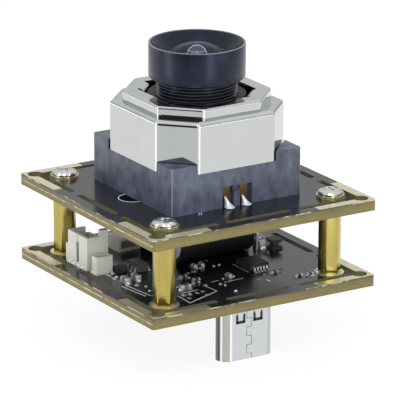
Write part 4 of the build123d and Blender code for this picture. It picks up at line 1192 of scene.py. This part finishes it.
def gilt_corner(level, turn):
    """One gold L at the corner that lies at this turn about the board's centre."""
    far = BOARD_HALF - GILT_EDGE
    middle = (GILT_START + far) / 2
    piece = tile((middle, middle, level), (far - GILT_START, far - GILT_START))
    for normal in ((1, 0, 0), (0, 1, 0)):
        edit_whole()
        bpy.ops.mesh.bisect(plane_co=(SLOT_OUTER * MM, SLOT_OUTER * MM, level * MM), plane_no=normal)
    bpy.ops.mesh.select_all(action="DESELECT")
    leave_edit()
    for face in piece.data.polygons:
        face.select = face.center.x < SLOT_OUTER * MM and face.center.y < SLOT_OUTER * MM
    bpy.ops.object.mode_set(mode="EDIT")
    bpy.ops.mesh.delete(type="FACE")
    leave_edit()
    piece.rotation_euler.z = turn
    return apply_place()


def cut_reliefs(piece, level):
    """Cuts the four round corner reliefs out of a layer with one joined cutter."""
    start_piece()
    cutters = []
    for sx, sy in CORNER_SIGNS:
        place = (sx * RELIEF_CENTRE * MM, sy * RELIEF_CENTRE * MM, level * MM)
        bpy.ops.mesh.primitive_cylinder_add(
            vertices=48, radius=RELIEF_RADIUS * MM, depth=1 * MM, location=place,
        )
        cutters.append(bpy.context.object)
    select_parts(cutters)
    bpy.ops.object.join()
    cutter = apply_place()
    select_parts([piece])
    cut = piece.modifiers.new("reliefs", "BOOLEAN")
    cut.operation = "DIFFERENCE"
    cut.solver = "EXACT"
    cut.object = cutter
    bpy.ops.object.modifier_apply(modifier=cut.name)
    bpy.data.objects.remove(cutter)


def gilt_layer(name, level, upward, rings):
    start_piece()
    corners = [gilt_corner(level, i * math.pi / 2) for i in range(4)]
    piece = join_layer(name, corners, LAYER_THICKNESS, upward)
    cut_reliefs(piece, level)
    if rings:
        centres = [(sx * HOLE_OFFSET, sy * HOLE_OFFSET) for sx, sy in CORNER_SIGNS]
        marks = [ring_mark(centre, HOLE_RADIUS, PAD_RADIUS, level) for centre in centres]
        pads = join_layer(name + "_rings", marks, LAYER_THICKNESS, upward)
        place_piece(pads, gold, "housing")
    place_piece(piece, gold, "housing")


gilt_layer("upper_gilt_corners", UPPER_TOP, True, False)
gilt_layer("lower_gilt_corners", LOWER_TOP, True, True)
gilt_layer("upper_gilt_underside", UPPER_BOTTOM, False, False)
gilt_layer("lower_gilt_underside", 0.0, False, True)

# %% [markdown]
# Solder wets both metals and freezes as a small mound between them. At this size a squashed ball
# cut off flat at the board is enough, and one function makes every joint. The blocks that the
# mounds belong to share one node, so a copy of the node is taken apart to find each of them.

# %% Mounds, blocks and the places of solids


def separated():
    """Takes the mesh in edit mode apart into its loose solids."""
    bpy.ops.mesh.separate(type="LOOSE")
    leave_edit()
    return list(bpy.context.selected_objects)


def solid_boxes(name):
    """Lowest and highest corner of each separate solid of a CAD node, in millimetres."""
    merged_copy("measured_copy", name)
    boxes = []
    for part in separated():
        places = [v.co / MM for v in part.data.vertices]
        low = Vector([min(p[i] for p in places) for i in range(3)])
        high = Vector([max(p[i] for p in places) for i in range(3)])
        boxes.append((low, high))
        bpy.data.objects.remove(part)
    print(name, "has", len(boxes), "solids")
    return sorted(boxes, key=lambda box: tuple(round(c, 3) for c in box[0]))


def eased_block(low, high, edge):
    """A block between two corners in millimetres, its edges eased by a bevel."""
    start_piece()
    bpy.ops.mesh.primitive_cube_add(size=1, location=(low + high) / 2 * MM)
    bpy.context.object.scale = (high - low) * MM
    block = apply_place()
    edit_whole()
    bpy.ops.mesh.bevel(offset=edge * MM, segments=2)
    leave_edit()
    return block


def solder_mound(centre, size):
    """A ball squashed to size and cut off flat at the top of the lower board."""
    start_piece()
    place = [c * MM for c in (*centre, LOWER_TOP)]
    bpy.ops.mesh.primitive_ico_sphere_add(subdivisions=3, radius=0.5, location=place)
    bpy.context.object.scale = (size[0] * MM, size[1] * MM, 2 * size[2] * MM)
    mound = apply_place()
    edit_whole()
    bpy.ops.mesh.bisect(plane_co=(0, 0, LOWER_TOP * MM), plane_no=(0, 0, 1), use_fill=True, clear_inner=True)
    leave_edit()
    return mound


# %% [markdown]
# Small ceramic parts are a block between two tinned caps. The solids are the blocks, so the caps
# are slipped over their ends here, a hair proud of them all round, with a mound at each foot.

# %% Tinned end caps
CAP_PROUD = 0.025
CAP_EDGE = 0.04
FOOT_OUT = 0.05
FOOT_LENGTH = 0.5
FOOT_WIDTH = 1.05
FOOT_RISE = 0.55


def end_caps(name, boxes, share):
    caps = []
    mounds = []
    for low, high in boxes:
        size = high - low
        along = 0 if size.x > size.y else 1
        across = 1 - along
        for end in (-1, 1):
            inner, outer = low.copy(), high.copy()
            inner[across] -= CAP_PROUD
            outer[across] += CAP_PROUD
            outer.z += CAP_PROUD
            if end < 0:
                inner[along] = low[along] - CAP_PROUD
                outer[along] = low[along] + size[along] * share
            else:
                inner[along] = high[along] - size[along] * share
                outer[along] = high[along] + CAP_PROUD
            caps.append(eased_block(inner, outer, CAP_EDGE))
            foot = (low + high) / 2
            foot[along] += end * (size[along] / 2 + FOOT_OUT)
            spread = [0.0, 0.0, size.z * FOOT_RISE]
            spread[along] = FOOT_LENGTH
            spread[across] = size[across] * FOOT_WIDTH
            mounds.append(solder_mound((foot.x, foot.y), spread))
    place_piece(join_parts(name + "_end_caps", caps), tin, "housing")
    place_piece(join_parts(name + "_solder", mounds), solder, "housing")


end_caps("ceramic_capacitor", solid_boxes("ceramic_capacitors"), 0.3)
end_caps("chip_resistor", solid_boxes("chip_resistors"), 0.26)

# %% [markdown]
# The standoffs are sawn from drawn hexagon bar, whose corners come out rounded. The rounding
# draws the bright lines down each bar. The bars are copies of the solids: every upright corner
# edge gets a small bevel, and the front bar is screwed home to where its flat faces the front.

# %% Rounded standoffs
BAR_ROUND = 0.16
BAR_EDGE_LENGTH = 5
FRONT_BAR_TURN = math.radians(16)


def round_bar(bar):
    """Bevels one bar's upright corners, and turns the bar if it is the front one."""
    select_parts([bar])
    places = [v.co for v in bar.data.vertices]
    middle = sum(places, Vector()) / len(places)
    reach = max((p - middle).to_2d().length for p in places)
    bpy.ops.object.mode_set(mode="EDIT")
    bpy.ops.mesh.select_mode(type="EDGE")
    bpy.ops.mesh.select_all(action="DESELECT")
    leave_edit()
    for edge in bar.data.edges:
        a, b = (bar.data.vertices[i].co for i in edge.vertices)
        upright = abs(a.z - b.z) > BAR_EDGE_LENGTH * MM and (a - b).to_2d().length < 0.01 * MM
        edge.select = upright and (a - middle).to_2d().length > reach * 0.97
    bpy.ops.object.mode_set(mode="EDIT")
    bpy.ops.mesh.bevel(offset=BAR_ROUND * MM, segments=3)
    if middle.x < 0 and middle.y < 0:
        bpy.ops.mesh.select_all(action="SELECT")
        bpy.ops.transform.rotate(value=FRONT_BAR_TURN, orient_axis="Z", center_override=middle)
    bpy.ops.mesh.select_mode(type="VERT")
    leave_edit()


def rounded_bars():
    merged_copy("standoff_bars", "standoffs")
    bpy.ops.mesh.dissolve_limited(angle_limit=math.radians(1))
    bars = separated()
    for bar in bars:
        round_bar(bar)
    return join_parts("standoff_bars", bars, 25.0)


bars = place_piece(rounded_bars(), brass, "housing")
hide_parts("standoffs")

# %% [markdown]
# Every leg of a leaded chip ends in a fillet of solder on its pad. The mounds come from the
# legs' own boxes, so they lie where the legs do, and each reaches a little past the toe.

# %% Solder at the legs
LEG_MARGIN = 0.12
TOE_BACK = 0.15
TOE_LENGTH = 0.7
TOE_RISE = 0.16


def leg_solder(name, boxes, along, side):
    """A mound over the toe of each leg of one row, whose legs point to this side along one axis."""
    mounds = []
    for low, high in boxes:
        place = [(low.x + high.x) / 2, (low.y + high.y) / 2]
        place[along] = (high if side > 0 else low)[along] - side * TOE_BACK
        spread = [high.x - low.x + LEG_MARGIN, high.y - low.y + LEG_MARGIN, TOE_RISE]
        spread[along] = TOE_LENGTH
        mounds.append(solder_mound(place, spread))
    place_piece(join_parts(name, mounds), solder, "housing")


def two_sided(name, boxes, along):
    """Splits a chip's legs into the two rows and solders each row's toes."""
    middle = sum((low[along] + high[along]) / 2 for low, high in boxes) / len(boxes)
    for side, label in ((-1, "low"), (1, "high")):
        row = [box for box in boxes if ((box[0][along] + box[1][along]) / 2 - middle) * side > 0]
        leg_solder(f"{name}_{label}", row, along, side)


two_sided("controller_solder", solid_boxes("controller_leads"), 1)
two_sided("regulator_solder", solid_boxes("regulator_leads"), 0)

# %% [markdown]
# The tall header has a dark block in the groove of its back wall, partly its latch spring and
# partly a painted shade for the dark inside the groove. Its foot sits in a ragged line of solder on
# the board's edge side. A sine of the step makes the mounds uneven, which is plainer than random
# numbers and gives the same row every time.

# %% Header latch spring and foot solder
HEADER_SPAN = 5.5
GROOVE_WIDTH = 0.36
GROOVE_HEIGHTS = (0.7, 3.7)
GROOVE_DEPTHS = (0.06, 0.2)
FOOT_STEPS = 9
FOOT_MARGIN = 0.4
FOOT_RUN = 4.9
FOOT_SIZE = 0.42
FOOT_SWELL = 0.2
FOOT_HEIGHTS = (0.3, 0.65)


def header_details():
    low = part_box("tall_header_housing")[0] / MM
    middle = low.y + HEADER_SPAN / 2
    near = Vector((low.x + GROOVE_DEPTHS[0], middle - GROOVE_WIDTH / 2, LOWER_TOP + GROOVE_HEIGHTS[0]))
    far = Vector((low.x + GROOVE_DEPTHS[1], middle + GROOVE_WIDTH / 2, LOWER_TOP + GROOVE_HEIGHTS[1]))
    # dark block in the groove: partly the latch spring, partly painted shade
    latch_and_shade = join_parts("tall_header_latch_and_shade", [eased_block(near, far, 0.03)])
    place_piece(latch_and_shade, grey_epoxy, "housing")
    mounds = []
    for step in range(FOOT_STEPS):
        y = low.y + FOOT_MARGIN + step * FOOT_RUN / (FOOT_STEPS - 1)
        size = FOOT_SIZE + FOOT_SWELL * math.sin(2.4 * step) ** 2
        mounds.append(solder_mound((low.x - 0.02, y), (size, size * 0.9, FOOT_HEIGHTS[step % 2])))
    place_piece(join_parts("tall_header_solder", mounds), solder, "housing")


header_details()

# %% [markdown]
# The boards carry printed white ink and tinned pads. The real print has lettering, which is
# left off. What stays are its plain outlines, drawn as strokes a sixth of a millimetre wide
# between points in millimetres on the board.

# %% Printed outlines
INK_WIDTH = 0.17
ink = finish("screen_printed_epoxy_ink", "#F2F3F1", "#D5D8D8", 0.5, 0.05, 0.3, 0.003)
LOWER_OUTLINES = (
    ((-14.54, -4.19), (-13.81, -9.95)),
    ((-15.3, -4.3), (-14.6, -9.6)),
    ((-13.81, -9.95), (-12.4, -9.9)),
    ((-10.56, -12.05), (-10.7, -15.5)),
    ((-10.7, -15.5), (-4.6, -13.1)),
    ((-4.6, -13.1), (-4.9, -9.8)),
    ((-9.4, -11.3), (-6.6, -11.2)),
    ((3.9, -4.1), (3.9, -8.2)),
    ((-10.9, -6.1), (-10.6, -9.9)),
    ((-7.2, -6.9), (-5.9, -6.6)),
    ((15.19, 6.85), (14.75, 3.96)),
    ((14.75, 3.96), (15.78, 3.78)),
    ((12.2, 2.9), (14.2, -1.9)),
    ((8.92, -13.3), (11.5, -14.4)),
    ((-3.1, -9.3), (-1.9, -9.2)),
)
DASH_FROM = Vector((-1.55, -10.34))
DASH_TO = Vector((1.83, -10.17))
DASHES = 7

start_piece()
strokes = [stroke(start, end, INK_WIDTH, LOWER_TOP) for start, end in LOWER_OUTLINES]
for index in range(DASHES):
    start = DASH_FROM.lerp(DASH_TO, index / DASHES)
    end = DASH_FROM.lerp(DASH_TO, (index + 0.5) / DASHES)
    strokes.append(stroke(start, end, INK_WIDTH, LOWER_TOP))
place_piece(join_layer("lower_board_ink", strokes, INK_THICKNESS), ink, "housing")

# %% [markdown]
# Between the parts lie bare tinned pads, flat tiles of the same thickness as the gold, and drops
# of solder from the hand work. Each pad is given by its place and its size on the board, each
# drop by its place and its width.

# %% Bare pads and solder drops
DROP_RISE = 0.45
LOWER_PADS = (
    (-14.4, 1.3, 0.5, 1.6), (-14.5, -0.6, 0.5, 1.0), (-6.1, -5.5, 0.7, 0.4),
    (-4.9, -5.1, 0.6, 0.3), (-4.4, -7.0, 0.5, 0.3), (6.73, -9.15, 0.7, 0.3),
    (7.61, -10.75, 0.9, 0.3), (9.0, -13.44, 0.7, 0.25), (10.87, -14.6, 0.8, 0.25),
    (-9.7, -12.3, 0.5, 0.7), (-8.7, -12.3, 0.5, 0.7), (-7.5, -12.3, 0.5, 0.7),
    (-6.5, -12.2, 0.5, 0.7), (-9.7, -13.7, 0.5, 0.6), (-8.2, -13.8, 0.8, 0.5),
    (-6.7, -13.8, 0.5, 0.6), (5.32, -10.42, 0.55, 0.35), (6.37, -10.31, 0.5, 0.35),
    (7.5, -9.5, 0.9, 0.3), (8.6, -9.7, 0.9, 0.3), (-1.86, -1.55, 0.5, 0.5),
    (-0.72, -1.5, 0.5, 0.5), (0.49, -0.53, 0.5, 0.5), (1.46, -0.55, 0.5, 0.5),
    (-4.0, -4.1, 0.6, 0.5), (-3.0, -4.0, 0.6, 0.5), (9.5, -13.4, 0.6, 0.3),
    (11.7, -13.2, 0.5, 0.3), (-6.61, -5.91, 0.3, 0.3), (3.4, -11.9, 0.4, 0.3),
)
LOWER_DROPS = (
    (-2.57, -10.82, 0.5), (-2.27, -11.6, 0.45), (0.24, -7.75, 0.5), (0.9, -8.9, 0.45),
    (-1.0, -9.0, 0.4), (12.47, -13.45, 0.6), (-2.33, -14.6, 0.55), (-12.9, -8.1, 0.5),
    (-12.4, -6.2, 0.5), (-13.3, -5.1, 0.6), (-13.58, 1.2, 0.7), (-13.9, -0.5, 0.7),
    (-14.6, -1.3, 0.5), (-7.0, -5.7, 0.5), (-8.6, -8.9, 0.6), (-5.0, -6.2, 0.5),
    (13.9, 4.3, 0.7), (13.5, 2.2, 0.8), (14.6, 0.4, 0.7), (15.6, 1.4, 0.6), (12.6, 3.4, 0.6),
    (-1.3, -3.2, 0.5), (0.9, -3.4, 0.5), (1.9, -3.3, 0.45), (-8.9, -8.2, 0.5),
    (-7.3, -8.5, 0.5), (-4.7, -10.2, 0.5),
)

start_piece()
pads = [tile((x, y, LOWER_TOP), (length, width)) for x, y, length, width in LOWER_PADS]
place_piece(join_layer("lower_board_pads", pads, LAYER_THICKNESS), solder, "housing")
drops = [solder_mound((x, y), (size, size, size * DROP_RISE)) for x, y, size in LOWER_DROPS]
place_piece(join_parts("lower_board_solder", drops), solder, "housing")

# %% [markdown]
# The upper board has little print: a ring round the hole beside the motor and two ticks that
# mark the first terminal.

# %% Print on the upper board
RING_CENTRE = (-11.0, 0.0)
RING_MIDDLE = 2.0
RING_HALF_WIDTH = 0.07
TICK_WIDTH = 0.1
UPPER_TICKS = (((-6.45, -11.15), (-7.0, -11.9)), ((-6.1, -11.2), (-6.65, -11.95)))

ring_inner, ring_outer = RING_MIDDLE - RING_HALF_WIDTH, RING_MIDDLE + RING_HALF_WIDTH
marks = [ring_mark(RING_CENTRE, ring_inner, ring_outer, UPPER_TOP, 64)]
start_piece()
marks += [stroke(start, end, TICK_WIDTH, UPPER_TOP) for start, end in UPPER_TICKS]
place_piece(join_layer("upper_board_ink", marks, INK_THICKNESS), ink, "housing")

# %% [markdown]
# The coil's two terminals are soldered by hand, so each joint is a little peak of solder drawn
# up the pin, not a machine's neat fillet. A cone is pushed to the shape: hollowed half way up,
# its tip drawn to one side, its skin roughened a little and then smoothed again.

# %% Hand-soldered terminals
PEAK_SIDES = 20
PEAK_TIP = 0.06
PEAK_CUTS = 5
PEAK_HOLLOW = 0.35
PEAK_LEAN = (-0.26, 0.36)
PEAK_ROUGHNESS = 0.05
PEAK_SEED = 3


def solder_peak(low, high, index):
    start_piece()
    size = high - low
    middle = (low + high) / 2
    bpy.ops.mesh.primitive_cone_add(
        vertices=PEAK_SIDES, radius1=0.5, radius2=PEAK_TIP, depth=1.0, location=middle * MM,
    )
    bpy.context.object.scale = size * MM
    peak = apply_place()
    edit_whole()
    bpy.ops.mesh.subdivide(number_cuts=PEAK_CUTS)
    leave_edit()
    for vertex in peak.data.vertices:
        rise = (vertex.co.z / MM - low.z) / size.z
        belly = 1 - PEAK_HOLLOW * math.sin(math.pi * min(max(rise, 0), 1))
        for axis, lean in enumerate(PEAK_LEAN):
            offset = (vertex.co[axis] / MM - middle[axis]) * belly + lean * size[axis] * rise
            vertex.co[axis] = (middle[axis] + offset) * MM
    edit_whole()
    bpy.ops.transform.vertex_random(offset=PEAK_ROUGHNESS * MM, seed=index + PEAK_SEED)
    bpy.ops.mesh.vertices_smooth(factor=0.5, repeat=2)
    leave_edit()
    return peak


peaks = [solder_peak(low, high, index) for index, (low, high) in enumerate(solid_boxes("terminal_solder"))]
hand_solder = place_piece(join_parts("hand_soldered_peaks", peaks, 70.0), solder, "housing")
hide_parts("terminal_solder")

# %% [markdown]
# The socket's two latch springs are punched U cuts in its shell. The shade inside each cut is
# drawn broad as thin dark bars, bevelled, that lie on the shell: a painted shade.

# %% Socket latch cuts
shell_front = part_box("usb_shell")[0].y / MM
LATCH_CENTRES = (-1.47, 1.5)
LATCH_WIDTH = 1.62
LATCH_RISE = 1.22
LATCH_BAR = 0.42
LATCH_FOOT = -3.48
LATCH_LAP = (0.05, 0.04)
SHADE_BAR_PROUD = 0.015
SHADE_BAR_SUNK = 0.05
SHADE_BAR_EDGE = 0.02
# painted shade: dark bars that stand for the shade inside the latch cuts
latch_painted_shade = finish("latch_cut_painted_shade", "#15161A", "#2A2C33", 0.4, 0.05, 0.2, 0.002)

shade_bars = []
for centre in LATCH_CENTRES:
    left, right = centre - LATCH_WIDTH / 2, centre + LATCH_WIDTH / 2
    for x0, x1, z0, z1 in (
        (left, left + LATCH_BAR, LATCH_FOOT, LATCH_FOOT + LATCH_RISE),
        (right - LATCH_BAR, right, LATCH_FOOT, LATCH_FOOT + LATCH_RISE),
        (left + LATCH_LAP[0], right - LATCH_LAP[0], LATCH_FOOT - LATCH_LAP[1], LATCH_FOOT + LATCH_BAR),
    ):
        near = Vector((x0, shell_front - SHADE_BAR_PROUD, z0))
        far = Vector((x1, shell_front + SHADE_BAR_SUNK, z1))
        shade_bars.append(eased_block(near, far, SHADE_BAR_EDGE))
place_piece(join_parts("usb_latch_painted_shade", shade_bars), latch_painted_shade, "housing")

# %% [markdown]
# The Standard view keeps each colour about as it was written.

bpy.context.scene.view_settings.view_transform = "Standard"
